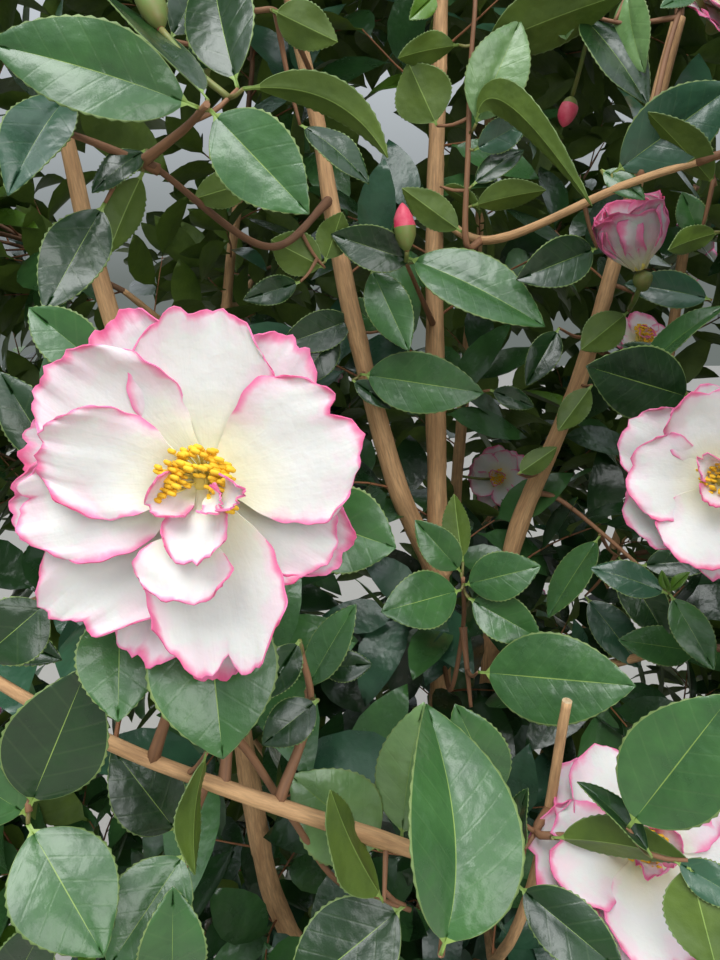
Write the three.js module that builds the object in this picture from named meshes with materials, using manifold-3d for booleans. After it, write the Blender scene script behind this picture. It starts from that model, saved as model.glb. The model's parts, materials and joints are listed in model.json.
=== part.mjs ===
// Camellia shrub in bloom. A short trunk forks close to the ground into upright stems, which carry
// side boughs and masses of evergreen leaves with open blooms.
// Millimetres, +Z up. The origin is the middle of the trunk's flat cut at ground level, and the
// shrub's front, the side of its largest bloom, faces -Y.
import * as THREE from "three";
import Module from "manifold-3d";

const wasm = await Module();
wasm.setup();

const GOLDEN_TURN = THREE.MathUtils.degToRad(137.5); // from one twig or leaf to the next
const UP = new THREE.Vector3(0, 0, 1);

// Driving dimensions
const CLEAR = 0.3; // gap that pieces keep where they meet
const CROWN = {
  middle: 730, // height of the widest level
  halfHeight: 590,
  halfWidth: 470,
  halfDepth: 455,
  squareness: 2.4, // 2 is an ellipse
};
const TRUNK = { height: 100, footRadius: 42, neckRadius: 31, headRadius: 35, lobes: 5, flare: 6 };
const STEM_FOOT = { ring: 24, height: 78 }; // where the stems start, inside the trunk's head
const STEM_SIDES = 6;
const BOUGH_SIDES = 5;
const TWIG_SIDES = 3;
const LIMB_STEP = 100; // length of one faceted stretch of a limb

// The leaves here are fewer than the plant's and twice its size, so that the crown isn't thin.
const LEAF = { length: 146, width: 80, thickness: 2.6, root: 0.5, droop: 9 };
const LEAF_DEPTH = 0.42; // how far out in the crown the first leaves are
const LEAVES_A_TWIG = 4;
const LEAF_TRIES = 5; // turns that a leaf is tried at before it is skipped
const TWIG = { main: 3.4, side: 2.4, tip: 1.5, most: 190, least: 45 }; // radii, then lengths
const SIDE_TWIGS = { count: 4, first: 0.22, share: 0.7 }; // along the main twig
const ROOM = { space: 4, limb: 3.5 }; // that a twig keeps to its mass's borders and to the limbs

// Each stem: the compass turn of its foot on the trunk, its radius at foot and tip, and the points
// that it passes through on its way to the tip.
const STEMS = [
  {
    name: "stem_front", turn: -90, radii: [9.5, 4.5],
    through: [[6, -92, 420], [9, -120, 600], [0, -152, 774], [-4, -142, 930], [2, -92, 1085]],
  },
  {
    name: "stem_front_right", turn: -30, radii: [9.5, 3.8],
    through: [[62, -64, 360], [46, -112, 610], [52, -146, 735], [88, -164, 860], [132, -152, 1050]],
  },
  {
    name: "stem_front_left", turn: -150, radii: [9, 3.8],
    through: [[-70, -110, 330], [-108, -190, 500], [-128, -222, 690], [-178, -228, 880], [-198, -222, 975]],
  },
  {
    name: "stem_right", turn: 30, radii: [9, 3.8],
    through: [[95, 40, 300], [165, 55, 560], [215, 40, 800], [225, 30, 990]],
  },
  {
    name: "stem_back", turn: 90, radii: [9.5, 4],
    through: [[18, 85, 330], [46, 140, 620], [62, 150, 880], [70, 110, 1090]],
  },
  {
    name: "stem_back_left", turn: 150, radii: [9, 3.8],
    through: [[-88, 60, 320], [-150, 100, 600], [-180, 110, 850], [-150, 95, 1060]],
  },
];

// Limbs that spring from a named limb, at a share of its length, and show in the crown's front.
const BRANCHES = [
  {
    name: "arm_front", from: "stem_front", at: 0.53, radii: [7.2, 3.4], sides: STEM_SIDES,
    through: [[-28, -165, 784], [-58, -170, 900], [-76, -158, 1000], [-96, -146, 1085]],
  },
  {
    name: "bough_long", from: "stem_front", at: 0.4, radii: [5.2, 1.9], sides: BOUGH_SIDES,
    through: [[16, -215, 552], [6, -320, 628], [-31, -375, 685], [-128, -394, 738], [-212, -366, 768]],
  },
  {
    name: "bough_high_left", from: "arm_front", at: 0.62, radii: [3.6, 2.2], sides: BOUGH_SIDES,
    through: [[-94, -246, 916], [-131, -318, 940]],
  },
  {
    name: "bough_high_right", from: "stem_front", at: 0.82, radii: [3.6, 2.0], sides: BOUGH_SIDES,
    through: [[22, -200, 924], [83, -238, 947], [140, -252, 962]],
  },
  {
    name: "stub_pruned", from: "stem_front_right", at: 0.36, radii: [4.4, 2.6], sides: BOUGH_SIDES,
    through: [[38, -190, 470], [24, -302, 570], [30, -332, 646], [34, -345, 730]],
  },
];
const BOUGH = { radii: [4.2, 2.6], share: 0.56, sag: 0.1 }; // share of the way to the mass's middle

// The masses of foliage stand in tiers round the stems.
const TIERS = [
  { name: "skirt", height: 255, ring: 275, count: 5, turn: -72, blooms: 1 },
  { name: "lower", height: 465, ring: 318, count: 6, turn: -100, blooms: 1 },
  { name: "middle", height: 700, ring: 322, count: 7, turn: -95, blooms: 2 },
  { name: "upper", height: 945, ring: 318, count: 6, turn: -120, blooms: 1 },
  { name: "top", height: 1155, ring: 190, count: 4, turn: -128, blooms: 1 },
  { name: "crest", height: 1205, ring: 0, count: 1, turn: 0, blooms: 0 },
];
const CARRIED = {
  mass_middle_7: "bough_long",
  mass_upper_1: "bough_high_left",
  mass_upper_2: "bough_high_right",
  mass_upper_3: "stem_right",
  mass_top_1: "arm_front",
  mass_top_2: "stem_front_right",
  mass_top_3: "stem_back",
  mass_top_4: "stem_back_left",
  mass_crest_1: "stem_front",
};
const LONGEST_STALK = 150; // a mass further than this from its stem has a bough
const PERCH = { gap: 34, bareFoot: 0.2, step: 0.04, drop: 50 }; // where boughs may leave a stem

// The large blooms of the front: place of the middle, the way that each faces, and diameter.
const FRONT_BLOOMS = [
  { name: "largest", middle: [-97, -430, 834], facing: [-0.06, -0.99, 0.12], across: 96 },
  { name: "right", middle: [110, -300, 812], facing: [-0.42, -0.88, 0.2], across: 92 },
  { name: "low", middle: [58, -366, 690], facing: [0.25, -0.5, 0.83], across: 84 },
  { name: "half_open", middle: [106, -188, 930], facing: [-0.1, -0.9, 0.42], across: 50 },
  { name: "corner", middle: [140, -196, 1040], facing: [0.3, -0.7, 0.6], across: 74 },
];
const BLOOM = { across: 84, petals: 6, notch: 0.84, cup: 0.24, boss: 0.3, depth: 0.42 };
const BLOOM_STAND = 14; // from a twig's tip to the middle of its bloom

const CROWN_HEART = new THREE.Vector3(0, 0, CROWN.middle - 120); // what the blooms face away from
const OUTER = 0.8; // how far out in the crown the blooms start

const SLIVER = 0.02; // shorter edges, left by fusing and cutting, are merged

const BARK = 0x8a6a4c;
const LEAF_GREEN = 0x2c5a34;

function vector(numbers) {
  return new THREE.Vector3(...numbers);
}

function polar(turn, ring, height) {
  const angle = THREE.MathUtils.degToRad(turn);
  return new THREE.Vector3(ring * Math.cos(angle), ring * Math.sin(angle), height);
}

// A repeatable run of numbers from 0 to 1.
function seeded(seed) {
  let state = Math.imul(seed + 1, 2654435761) >>> 0;
  const next = () => {
    state = (Math.imul(state, 1664525) + 1013904223) >>> 0;
    return state / 2 ** 32;
  };
  next();
  next();
  return next;
}

function solid(points, faces) {
  const vertProperties = new Float32Array(points.flatMap((p) => [p.x, p.y, p.z]));
  const triVerts = new Uint32Array(faces.flat());
  return new wasm.Manifold(new wasm.Mesh({ numProp: 3, vertProperties, triVerts }));
}

function geometryOf(made) {
  const mesh = made.getMesh();
  const geometry = new THREE.BufferGeometry();
  geometry.setAttribute("position", new THREE.BufferAttribute(mesh.vertProperties, 3));
  geometry.setIndex(new THREE.BufferAttribute(mesh.triVerts, 1));
  geometry.computeVertexNormals();
  return geometry;
}

// A solid through rings of points, each with the same count of corners, with a fan on each end.
function loft(rings) {
  const count = rings[0].length;
  const points = rings.flat();
  const faces = [];
  for (let r = 0; r + 1 < rings.length; r++) {
    for (let i = 0; i < count; i++) {
      const [a, b] = [r * count + i, r * count + ((i + 1) % count)];
      faces.push([a, b, b + count], [a, b + count, a + count]);
    }
  }
  const last = (rings.length - 1) * count;
  if (count === 3) return solid(points, [...faces, [2, 1, 0], [last, last + 1, last + 2]]);
  const ends = [rings[0], rings.at(-1)].map((ring) => {
    const middle = ring.reduce((sum, p) => sum.add(p), new THREE.Vector3());
    return points.push(middle.divideScalar(count)) - 1;
  });
  for (let i = 0; i < count; i++) {
    const j = (i + 1) % count;
    faces.push([ends[0], j, i], [ends[1], last + i, last + j]);
  }
  return solid(points, faces);
}

function smoothCurve(points) {
  return new THREE.CatmullRomCurve3(points, false, "catmullrom", 0.5);
}

// A tapering limb along its curve. `extra` swells it, for cutting its neighbours clear of it.
function tube({ curve, radii, sides, steps }, extra = 0) {
  const chord = curve.getPoint(1).sub(curve.getPoint(0)).normalize();
  const reference = Math.abs(chord.z) > 0.7 ? new THREE.Vector3(0, 1, 0) : UP;
  const spread = extra / Math.cos(Math.PI / sides);
  const rings = [];
  for (let s = 0; s <= steps; s++) {
    const t = s / steps;
    const middle = curve.getPoint(t);
    const along = curve.getTangent(t);
    const across = new THREE.Vector3().crossVectors(along, reference).normalize();
    const other = new THREE.Vector3().crossVectors(along, across);
    const radius = THREE.MathUtils.lerp(...radii, t) + spread;
    const ring = [];
    for (let i = 0; i < sides; i++) {
      const angle = (2 * Math.PI * i) / sides;
      const corner = middle.clone().addScaledVector(across, radius * Math.cos(angle));
      ring.push(corner.addScaledVector(other, radius * Math.sin(angle)));
    }
    rings.push(ring);
  }
  return loft(rings);
}

// The trunk: lobes of root flare at the ground, a neck, and a broad head that the stems leave.
function trunkSolid(extra = 0) {
  const { height, footRadius, neckRadius, headRadius, lobes, flare } = TRUNK;
  const levels = [
    [0, footRadius, flare],
    [14, THREE.MathUtils.lerp(footRadius, neckRadius, 0.55), flare * 0.55],
    [34, neckRadius, flare * 0.2],
    [62, neckRadius, 0],
    [height - 16, headRadius, 0],
    [height - 4, headRadius * 0.8, 0],
    [height, headRadius * 0.4, 0],
  ];
  const sides = 3 * lobes;
  const rings = levels.map(([level, radius, lobe]) => {
    const ring = [];
    for (let i = 0; i < sides; i++) {
      const angle = (2 * Math.PI * i) / sides;
      const out = radius + lobe * Math.cos(lobes * angle) + extra;
      ring.push(new THREE.Vector3(out * Math.cos(angle), out * Math.sin(angle), level));
    }
    return ring;
  });
  if (extra) rings.at(-1).forEach((p) => (p.z += extra));
  return loft(rings);
}

// How far out a point lies: 0 at the crown's middle, 1 on its outline.
function outwardness({ x, y, z }) {
  const { middle, halfHeight, halfWidth, halfDepth, squareness } = CROWN;
  const level = Math.hypot(x / halfWidth, y / halfDepth);
  const rise = Math.abs(z - middle) / halfHeight;
  return (level ** squareness + rise ** squareness) ** (1 / squareness);
}

// Limbs: every stem, branch and bough, as a curve with its taper
const limbs = new Map();

function addLimb(name, points, radii, sides, from = null) {
  const curve = smoothCurve(points);
  const steps = Math.max(2, Math.round(curve.getLength() / LIMB_STEP));
  limbs.set(name, { name, curve, radii, sides, steps, from });
}

for (const { name, turn, radii, through } of STEMS) {
  const foot = polar(turn, STEM_FOOT.ring, STEM_FOOT.height);
  addLimb(name, [foot, ...through.map(vector)], radii, STEM_SIDES);
}
for (const { name, from, at, radii, sides, through } of BRANCHES) {
  const start = limbs.get(from).curve.getPoint(at);
  addLimb(name, [start, ...through.map(vector)], radii, sides, from);
}

// Masses: a middle for each, and the limb that carries it
const masses = [];
for (const { name, height, ring, count, turn, blooms } of TIERS) {
  for (let i = 0; i < count; i++) {
    const middle = polar(turn + (360 * i) / count, ring, height);
    const seed = masses.length;
    masses.push({ name: `mass_${name}_${i + 1}`, middle, seed, bloomCount: blooms });
  }
}

// The point of a stem that is best placed to carry a mass: near it, below it, and free.
function perchFor(middle) {
  let best = null;
  const starts = [...limbs.values()].map(({ curve }) => curve.getPoint(0));
  const taken = [...starts, ...masses.flatMap(({ start }) => start ?? [])];
  for (const { name } of STEMS) {
    const { curve } = limbs.get(name);
    for (let t = PERCH.bareFoot; t <= 1; t += PERCH.step) {
      const point = curve.getPoint(t);
      if (taken.some((other) => other.distanceTo(point) < PERCH.gap)) continue;
      const tooHigh = Math.max(0, point.z - middle.z + PERCH.drop);
      const cost = point.distanceTo(middle) + 1.5 * tooHigh;
      if (!best || cost < best.cost) best = { name, point, cost };
    }
  }
  return best;
}

for (const mass of masses.filter(({ name }) => name in CARRIED)) {
  mass.from = CARRIED[mass.name];
  mass.start = limbs.get(mass.from).curve.getPoint(1);
}
for (const mass of masses.filter(({ from }) => !from)) {
  const perch = perchFor(mass.middle);
  mass.from = perch.name;
  mass.start = perch.point;
  if (perch.point.distanceTo(mass.middle) > LONGEST_STALK) {
    const tip = perch.point.clone().lerp(mass.middle, BOUGH.share);
    const bend = perch.point.clone().lerp(tip, 0.5);
    bend.z -= BOUGH.sag * perch.point.distanceTo(tip);
    mass.from = mass.name.replace("mass", "bough");
    mass.start = tip;
    addLimb(mass.from, [perch.point, bend, tip], BOUGH.radii, BOUGH_SIDES, perch.name);
  }
}

// A mass keeps to its own space: inside the outline, and nearer to its middle than to any other.
function inSpace(mass, point, margin) {
  if (outwardness(point) > 1) return false;
  return masses.every((other) => {
    if (other === mass) return true;
    const apart = mass.middle.distanceTo(other.middle);
    const nearer = point.distanceToSquared(other.middle) - point.distanceToSquared(mass.middle);
    return nearer / (2 * apart) >= margin;
  });
}

function reachInSpace(mass, from, along, most) {
  const step = 5;
  const point = from.clone();
  let reach = 0;
  while (reach < most && inSpace(mass, point.addScaledVector(along, step), ROOM.space)) {
    reach += step;
  }
  return reach;
}

const SAMPLE_STEP = 6; // between the points at which two limbs or twigs are compared
const limbSamples = [];
for (const { curve, radii } of limbs.values()) {
  const count = Math.ceil(curve.getLength() / SAMPLE_STEP);
  for (let i = 0; i <= count; i++) {
    const radius = THREE.MathUtils.lerp(...radii, i / count);
    limbSamples.push({ point: curve.getPoint(i / count), radius });
  }
}

// Whether a straight stretch of twig stays off every limb.
function clearOfLimbs(start, end, radius) {
  const length = start.distanceTo(end);
  for (let d = 0; d <= length; d += SAMPLE_STEP) {
    const point = start.clone().lerp(end, d / length);
    const near = (sample) => point.distanceTo(sample.point) < sample.radius + radius + ROOM.limb;
    if (limbSamples.some(near)) return false;
  }
  return true;
}

// The twigs of a mass: a main twig from its limb through the mass, and side twigs round it.
function growTwigs(mass) {
  const random = seeded(mass.seed);
  const { start, middle } = mass;
  const heading = middle.clone().sub(start);
  const inner = heading.length();
  heading.normalize();
  const outward = new THREE.Vector3(middle.x, middle.y, 0).normalize();
  const lean = heading.clone().multiplyScalar(0.5);
  lean.addScaledVector(outward, 0.6).addScaledVector(UP, 0.35).normalize();
  const bend = start.clone().addScaledVector(heading, inner * 0.8);
  const tip = bend.clone().addScaledVector(lean, 0.86 * reachInSpace(mass, bend, lean, TWIG.most));
  const main = { points: [start, bend, tip], radii: [TWIG.main, TWIG.tip], main: true };
  const twigs = [main];
  const stalk = start.distanceTo(bend);
  const whole = stalk + bend.distanceTo(tip);
  const { count, first, share } = SIDE_TWIGS;
  for (let k = 0; k < count; k++) {
    const passed = whole * (first + (share * (k + random() * 0.6)) / count);
    const onStalk = passed < stalk;
    const from = onStalk
      ? start.clone().lerp(bend, passed / stalk)
      : bend.clone().lerp(tip, (passed - stalk) / (whole - stalk));
    const along = onStalk ? heading : lean;
    const side = new THREE.Vector3().crossVectors(along, UP).normalize();
    side.applyAxisAngle(along, k * GOLDEN_TURN + random() * 0.5);
    const away = along.clone().multiplyScalar(0.55).addScaledVector(side, 0.9);
    away.addScaledVector(UP, 0.22).addScaledVector(outward, 0.25).normalize();
    const reach = reachInSpace(mass, from, away, TWIG.most) * (0.8 + 0.16 * random());
    if (reach < TWIG.least) continue;
    const end = from.clone().addScaledVector(away, reach);
    if (!clearOfLimbs(from, end, TWIG.side)) continue;
    twigs.push({ points: [from, end], radii: [TWIG.side, TWIG.tip], main: false });
  }
  return twigs;
}

function twigSolid({ points, radii }) {
  const curve = points.length > 2 ? smoothCurve(points) : new THREE.LineCurve3(...points);
  return tube({ curve, radii, sides: TWIG_SIDES, steps: points.length - 1 });
}

// A leaf's blade, broadest near its middle, arching from its root down to its tip.
function leafSolid(root, along, face, size) {
  const length = LEAF.length * size;
  const width = LEAF.width * size;
  const side = new THREE.Vector3().crossVectors(face, along).normalize();
  const top = new THREE.Vector3().crossVectors(along, side).normalize();
  const at = (share, across, lift) =>
    root.clone()
      .addScaledVector(along, share * length)
      .addScaledVector(side, across)
      .addScaledVector(top, lift);
  const corners = [at(0, 0, 0), at(0.46, width / 2, 0), at(1, 0, -LEAF.droop), at(0.46, -width / 2, 0)];
  corners[0].addScaledVector(along, -LEAF.root);
  const ridge = at(0.44, 0, LEAF.thickness);
  const faces = [[4, 1, 0], [4, 2, 1], [4, 3, 2], [4, 0, 3], [0, 1, 3], [1, 2, 3]];
  return { made: solid([...corners, ridge], faces), corners };
}

// An open bloom: a shallow dish of petals round a low boss of stamens, pointed at its back.
function bloomSolid({ middle, facing, across }) {
  const { petals, notch, cup, boss, depth } = BLOOM;
  const radius = across / 2;
  const side = new THREE.Vector3().crossVectors(UP, facing).normalize();
  const other = new THREE.Vector3().crossVectors(facing, side);
  const at = (angle, out, lift) =>
    middle.clone()
      .addScaledVector(side, out * Math.cos(angle))
      .addScaledVector(other, out * Math.sin(angle))
      .addScaledVector(facing, lift);
  const points = [at(0, 0, boss * radius * 0.5), at(0, 0, -depth * radius)];
  const faces = [];
  for (let i = 0; i < petals; i++) {
    points.push(at((2 * Math.PI * (i + 0.5)) / petals, boss * radius, 0));
  }
  const rim = points.length;
  for (let i = 0; i < 2 * petals; i++) {
    const out = radius * (i % 2 ? 1 : notch);
    points.push(at((Math.PI * i) / petals, out, cup * radius * (i % 2 ? 1 : 0.8)));
  }
  for (let i = 0; i < petals; i++) {
    const [inner, next] = [2 + i, 2 + ((i + 1) % petals)];
    const [a, b, c] = [0, 1, 2].map((k) => rim + ((2 * i + k) % (2 * petals)));
    faces.push([0, inner, next], [inner, a, b], [inner, b, c], [inner, c, next]);
    faces.push([1, b, a], [1, c, b]);
  }
  return solid(points, faces);
}

// The point nearest to another, on any of some twigs.
function nearestOn(twigs, point) {
  let best = null;
  for (const { points } of twigs) {
    for (let i = 0; i + 1 < points.length; i++) {
      const stretch = new THREE.Line3(points[i], points[i + 1]);
      const found = stretch.closestPointToPoint(point, true, new THREE.Vector3());
      const gap = found.distanceTo(point);
      if (!best || gap < best.gap) best = { found, gap };
    }
  }
  return best.found;
}

// Blooms: the large ones of the front, then some at the outer tips of each mass
for (const mass of masses) mass.twigs = growTwigs(mass);
const blooms = FRONT_BLOOMS.map(({ middle, facing, across }) => {
  const place = vector(middle);
  const gaps = masses.map((mass) => mass.middle.distanceTo(place));
  const mass = masses[gaps.indexOf(Math.min(...gaps))];
  const ahead = vector(facing).normalize();
  const back = place.clone().addScaledVector(ahead, -0.8 * BLOOM.depth * (across / 2));
  return { mass, middle: place, facing: ahead, across, stalk: [nearestOn(mass.twigs, back), back] };
});
for (const mass of masses) {
  const random = seeded(mass.seed + 100);
  let left = mass.bloomCount;
  for (const { points, main } of mass.twigs) {
    const tip = points.at(-1);
    const outward = tip.clone().sub(CROWN_HEART).normalize();
    const across = BLOOM.across * (0.88 + 0.22 * random());
    const middle = tip.clone().addScaledVector(outward, BLOOM_STAND);
    const crowded = blooms.some((b) => b.middle.distanceTo(middle) < 0.6 * (b.across + across));
    const facing = outward.clone().addScaledVector(UP, 0.25 * random()).normalize();
    if (main || !left || crowded || outwardness(tip) < OUTER) continue;
    blooms.push({ mass, middle, facing, across });
    left -= 1;
  }
}

// The room that a bloom and its stalk need, which other masses keep out of.
function bloomGuard({ middle, across, stalk }) {
  const ball = new THREE.IcosahedronGeometry(across * 0.56, 1).translate(...middle);
  const corners = stalk ? [ball, new THREE.BoxGeometry(10, 10, 10).translate(...stalk[0])] : [ball];
  return wasm.Manifold.hull(corners.flatMap(({ attributes: { position } }) =>
    [...Array(position.count).keys()].map((i) =>
      [position.getX(i), position.getY(i), position.getZ(i)])));
}

const LIMB_ROOM = 1;
const limbRoom = [...limbs.values()].map((limb) => tube(limb, LIMB_ROOM));
const keptOff = wasm.Manifold.union([trunkSolid(LIMB_ROOM), ...limbRoom]);
const guards = blooms.map((bloom) => ({ bloom, guard: bloomGuard(bloom) }));

// A leaf's face looks up and outward, square to the way that it points.
function leafFace(point) {
  const face = new THREE.Vector3(point.x, point.y, 0).normalize();
  return face.multiplyScalar(0.75).addScaledVector(UP, 0.8);
}

// A mass: its twigs, its blooms, and the leaves that find room, fused into one solid.
function massSolid(mass) {
  const random = seeded(mass.seed + 500);
  const others = guards.filter(({ bloom }) => bloom.mass !== mass).map(({ guard }) => guard);
  const forbidden = wasm.Manifold.union([keptOff, ...others]);
  const touches = (made) => !made.intersect(forbidden).isEmpty();
  const ownBlooms = blooms.filter((bloom) => bloom.mass === mass);
  const pieces = [];
  const leaves = ownBlooms.map(bloomSolid);
  for (const twig of mass.twigs) {
    const wood = twigSolid(twig);
    if (!twig.main && touches(wood)) continue;
    pieces.push(wood);
    const { points } = twig;
    const [from, end] = [points.at(-2), points.at(-1)];
    const along = end.clone().sub(from).normalize();
    const count = LEAVES_A_TWIG + (twig.main ? 1 : 0);
    for (let i = 0; i <= count; i++) {
      const root = from.clone().lerp(end, 0.25 + (0.73 * i) / count);
      if (outwardness(root) < LEAF_DEPTH) continue;
      for (let tries = 0; tries < LEAF_TRIES; tries++) {
        const side = new THREE.Vector3().crossVectors(along, UP).normalize();
        side.applyAxisAngle(along, (i + 1.6 * tries) * GOLDEN_TURN + 0.6 * random());
        const away = along.clone().multiplyScalar(i === count ? 1.2 : 0.45);
        away.addScaledVector(side, 0.9).addScaledVector(UP, -0.12).normalize();
        const { made, corners } = leafSolid(root, away, leafFace(root), 0.8 + 0.3 * random());
        if (!corners.every((corner) => inSpace(mass, corner, 1)) || touches(made)) continue;
        if (leaves.some((other) => !other.intersect(made).isEmpty())) continue;
        leaves.push(made);
        break;
      }
    }
  }
  for (const { stalk } of ownBlooms.filter((bloom) => bloom.stalk)) {
    pieces.push(twigSolid({ points: stalk, radii: [TWIG.tip, TWIG.tip * 1.3] }));
  }
  const carrier = tube(limbs.get(mass.from), CLEAR);
  return largestPiece(wasm.Manifold.union([...pieces, ...leaves]).subtract(carrier));
}

// Fusing and cutting can leave loose scraps and sealed hollows: only the largest shell is kept.
function largestPiece(made) {
  const parts = made.simplify(SLIVER).decompose();
  return parts.reduce((a, b) => (a.volume() >= b.volume() ? a : b));
}

// The whole shrub
const shrub = new THREE.Group();
shrub.name = "camellia_shrub";
const bark = new THREE.MeshStandardMaterial({ color: BARK, roughness: 0.85, metalness: 0 });
const leaf = new THREE.MeshStandardMaterial({ color: LEAF_GREEN, roughness: 0.35, metalness: 0 });

function addNode(name, made, material) {
  const mesh = new THREE.Mesh(geometryOf(made), material);
  mesh.name = name;
  shrub.add(mesh);
}

addNode("trunk", trunkSolid(), bark);
for (const limb of limbs.values()) {
  const neighbour = limb.from ? tube(limbs.get(limb.from), CLEAR) : trunkSolid(CLEAR);
  addNode(limb.name, largestPiece(tube(limb).subtract(neighbour)), bark);
}
for (const mass of masses) addNode(mass.name, massSolid(mass), leaf);

export default shrub;
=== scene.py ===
# Camellia shrub in bloom: a short trunk, upright stems, boughs and twigs, glossy evergreen leaves and
# open white blooms with a pink edge. Lengths are in millimetres until a mesh is made.
import json
import math

import bpy
import numpy as np
from mathutils import Matrix, Quaternion, Vector, kdtree, noise

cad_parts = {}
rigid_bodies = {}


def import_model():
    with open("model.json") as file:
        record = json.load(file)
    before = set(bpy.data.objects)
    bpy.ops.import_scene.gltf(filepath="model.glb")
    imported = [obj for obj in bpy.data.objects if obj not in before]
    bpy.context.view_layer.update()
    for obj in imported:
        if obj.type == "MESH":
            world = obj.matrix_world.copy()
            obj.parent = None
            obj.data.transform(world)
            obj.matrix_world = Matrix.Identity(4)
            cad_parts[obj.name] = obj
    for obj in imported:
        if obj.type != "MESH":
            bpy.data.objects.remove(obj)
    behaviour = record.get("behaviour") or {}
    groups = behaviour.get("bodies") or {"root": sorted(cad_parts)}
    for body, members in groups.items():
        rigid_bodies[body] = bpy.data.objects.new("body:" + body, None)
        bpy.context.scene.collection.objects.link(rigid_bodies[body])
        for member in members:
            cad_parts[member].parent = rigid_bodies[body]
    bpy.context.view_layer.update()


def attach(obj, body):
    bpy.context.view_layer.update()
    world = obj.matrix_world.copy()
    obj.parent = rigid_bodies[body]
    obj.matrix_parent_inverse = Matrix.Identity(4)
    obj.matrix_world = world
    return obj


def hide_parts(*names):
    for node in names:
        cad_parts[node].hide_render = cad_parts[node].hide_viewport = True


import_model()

# View and studio
# A pale floor, a plain surround and soft daylight from above. The camera is close to the crown's
# front, at the height of the largest bloom, and looks a little down.
MM = 0.001
UP = Vector((0, 0, 1))
EYE = Vector((-50, -620, 880))
PITCH = math.radians(12)
PICTURE = (720, 960)
FOCAL = 740  # in pixels of the picture
SENSOR = 36
NEAREST_SEEN = 0.01  # metres
RIGHT = Vector((1, 0, 0))
FORWARD = Vector((0, math.cos(PITCH), -math.sin(PITCH)))
UPWARD = Vector((0, math.sin(PITCH), math.cos(PITCH)))


def seen(across, down, depth):
    """The point that shows at a pixel of the picture, at a depth in front of the eye."""
    right = (across - PICTURE[0] / 2) / FOCAL
    rise = (PICTURE[1] / 2 - down) / FOCAL
    return EYE + (RIGHT * right + UPWARD * rise + FORWARD) * depth


def pixel_of(point):
    """The pixel at which a point shows, and its depth."""
    away = point - EYE
    depth = away.dot(FORWARD)
    across = PICTURE[0] / 2 + FOCAL * away.dot(RIGHT) / depth
    return across, PICTURE[1] / 2 - FOCAL * away.dot(UPWARD) / depth, depth


def add_object(name, data):
    made = bpy.data.objects.new(name, data)
    bpy.context.scene.collection.objects.link(made)
    return made


def add_node(tree, kind, inputs=None, **settings):
    """A node of a tree. An input given as a socket is linked, and any other value is set."""
    made = tree.nodes.new(kind)
    for name, value in settings.items():
        setattr(made, name, value)
    for name, value in (inputs or {}).items():
        if isinstance(value, bpy.types.NodeSocket):
            tree.links.new(value, made.inputs[name])
        else:
            made.inputs[name].default_value = value
    return made


def map_range(tree, value, source=(0.0, 1.0), target=(0.0, 1.0), smooth=False):
    """Maps one range of values onto another, evenly or with soft ends."""
    return add_node(tree, "ShaderNodeMapRange", {
        "Value": value, "From Min": source[0], "From Max": source[1],
        "To Min": target[0], "To Max": target[1],
    }, interpolation_type="SMOOTHSTEP" if smooth else "LINEAR").outputs["Result"]


def mix(tree, share, first, second):
    """Blends two colours."""
    return add_node(tree, "ShaderNodeMix", {
        "Factor": share, 6: first, 7: second}, data_type="RGBA").outputs[2]


def new_finish(name):
    """A material, its node tree and its shader."""
    made = bpy.data.materials.new(name)
    made.use_nodes = True
    return made, made.node_tree, made.node_tree.nodes["Principled BSDF"]


def colour(red, green, blue):
    """A colour given as a screen shows it, from 0 to 255, as the shaders want it."""
    shares = [value / 255 for value in (red, green, blue)]
    linear = [s / 12.92 if s <= 0.04045 else ((s + 0.055) / 1.055) ** 2.4 for s in shares]
    return (*linear, 1.0)


lens = bpy.data.cameras.new("camera")
lens.sensor_width = SENSOR
lens.lens = FOCAL * SENSOR / PICTURE[1]
lens.clip_start = NEAREST_SEEN
camera = add_object("camera", lens)
camera.location = EYE * MM
camera.rotation_euler = (math.pi / 2 - PITCH, 0, 0)
bpy.context.scene.camera = camera
bpy.context.scene.view_settings.view_transform = "Standard"

FLOOR = {"size": 30, "height": -0.0005, "roughness": 0.9}  # metres
bpy.ops.mesh.primitive_plane_add(size=FLOOR["size"], location=(0, 0, FLOOR["height"]))
floor = bpy.context.object
floor.name = "floor"
floor_finish, _, floor_shader = new_finish("pale_floor")
floor_shader.inputs["Base Color"].default_value = colour(170, 166, 156)
floor_shader.inputs["Roughness"].default_value = FLOOR["roughness"]
floor.data.materials.append(floor_finish)

ZENITH, HORIZON = colour(236, 242, 252), colour(94, 100, 97)
SKY_FADE = (0.05, 0.8)  # rises at which the horizon's colour starts and ends to give way
DAYLIGHT = 1.42
world = bpy.data.worlds.new("daylight")
bpy.context.scene.world = world
world.use_nodes = True
sky = world.node_tree
sky_place = add_node(sky, "ShaderNodeTexCoord").outputs["Generated"]
sky_axes = add_node(sky, "ShaderNodeSeparateXYZ", {"Vector": sky_place}).outputs
sky_colour = mix(sky, map_range(sky, sky_axes["Z"], SKY_FADE), HORIZON, ZENITH)
sky.nodes["Background"].inputs["Strength"].default_value = DAYLIGHT
sky.links.new(sky_colour, sky.nodes["Background"].inputs["Color"])

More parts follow.
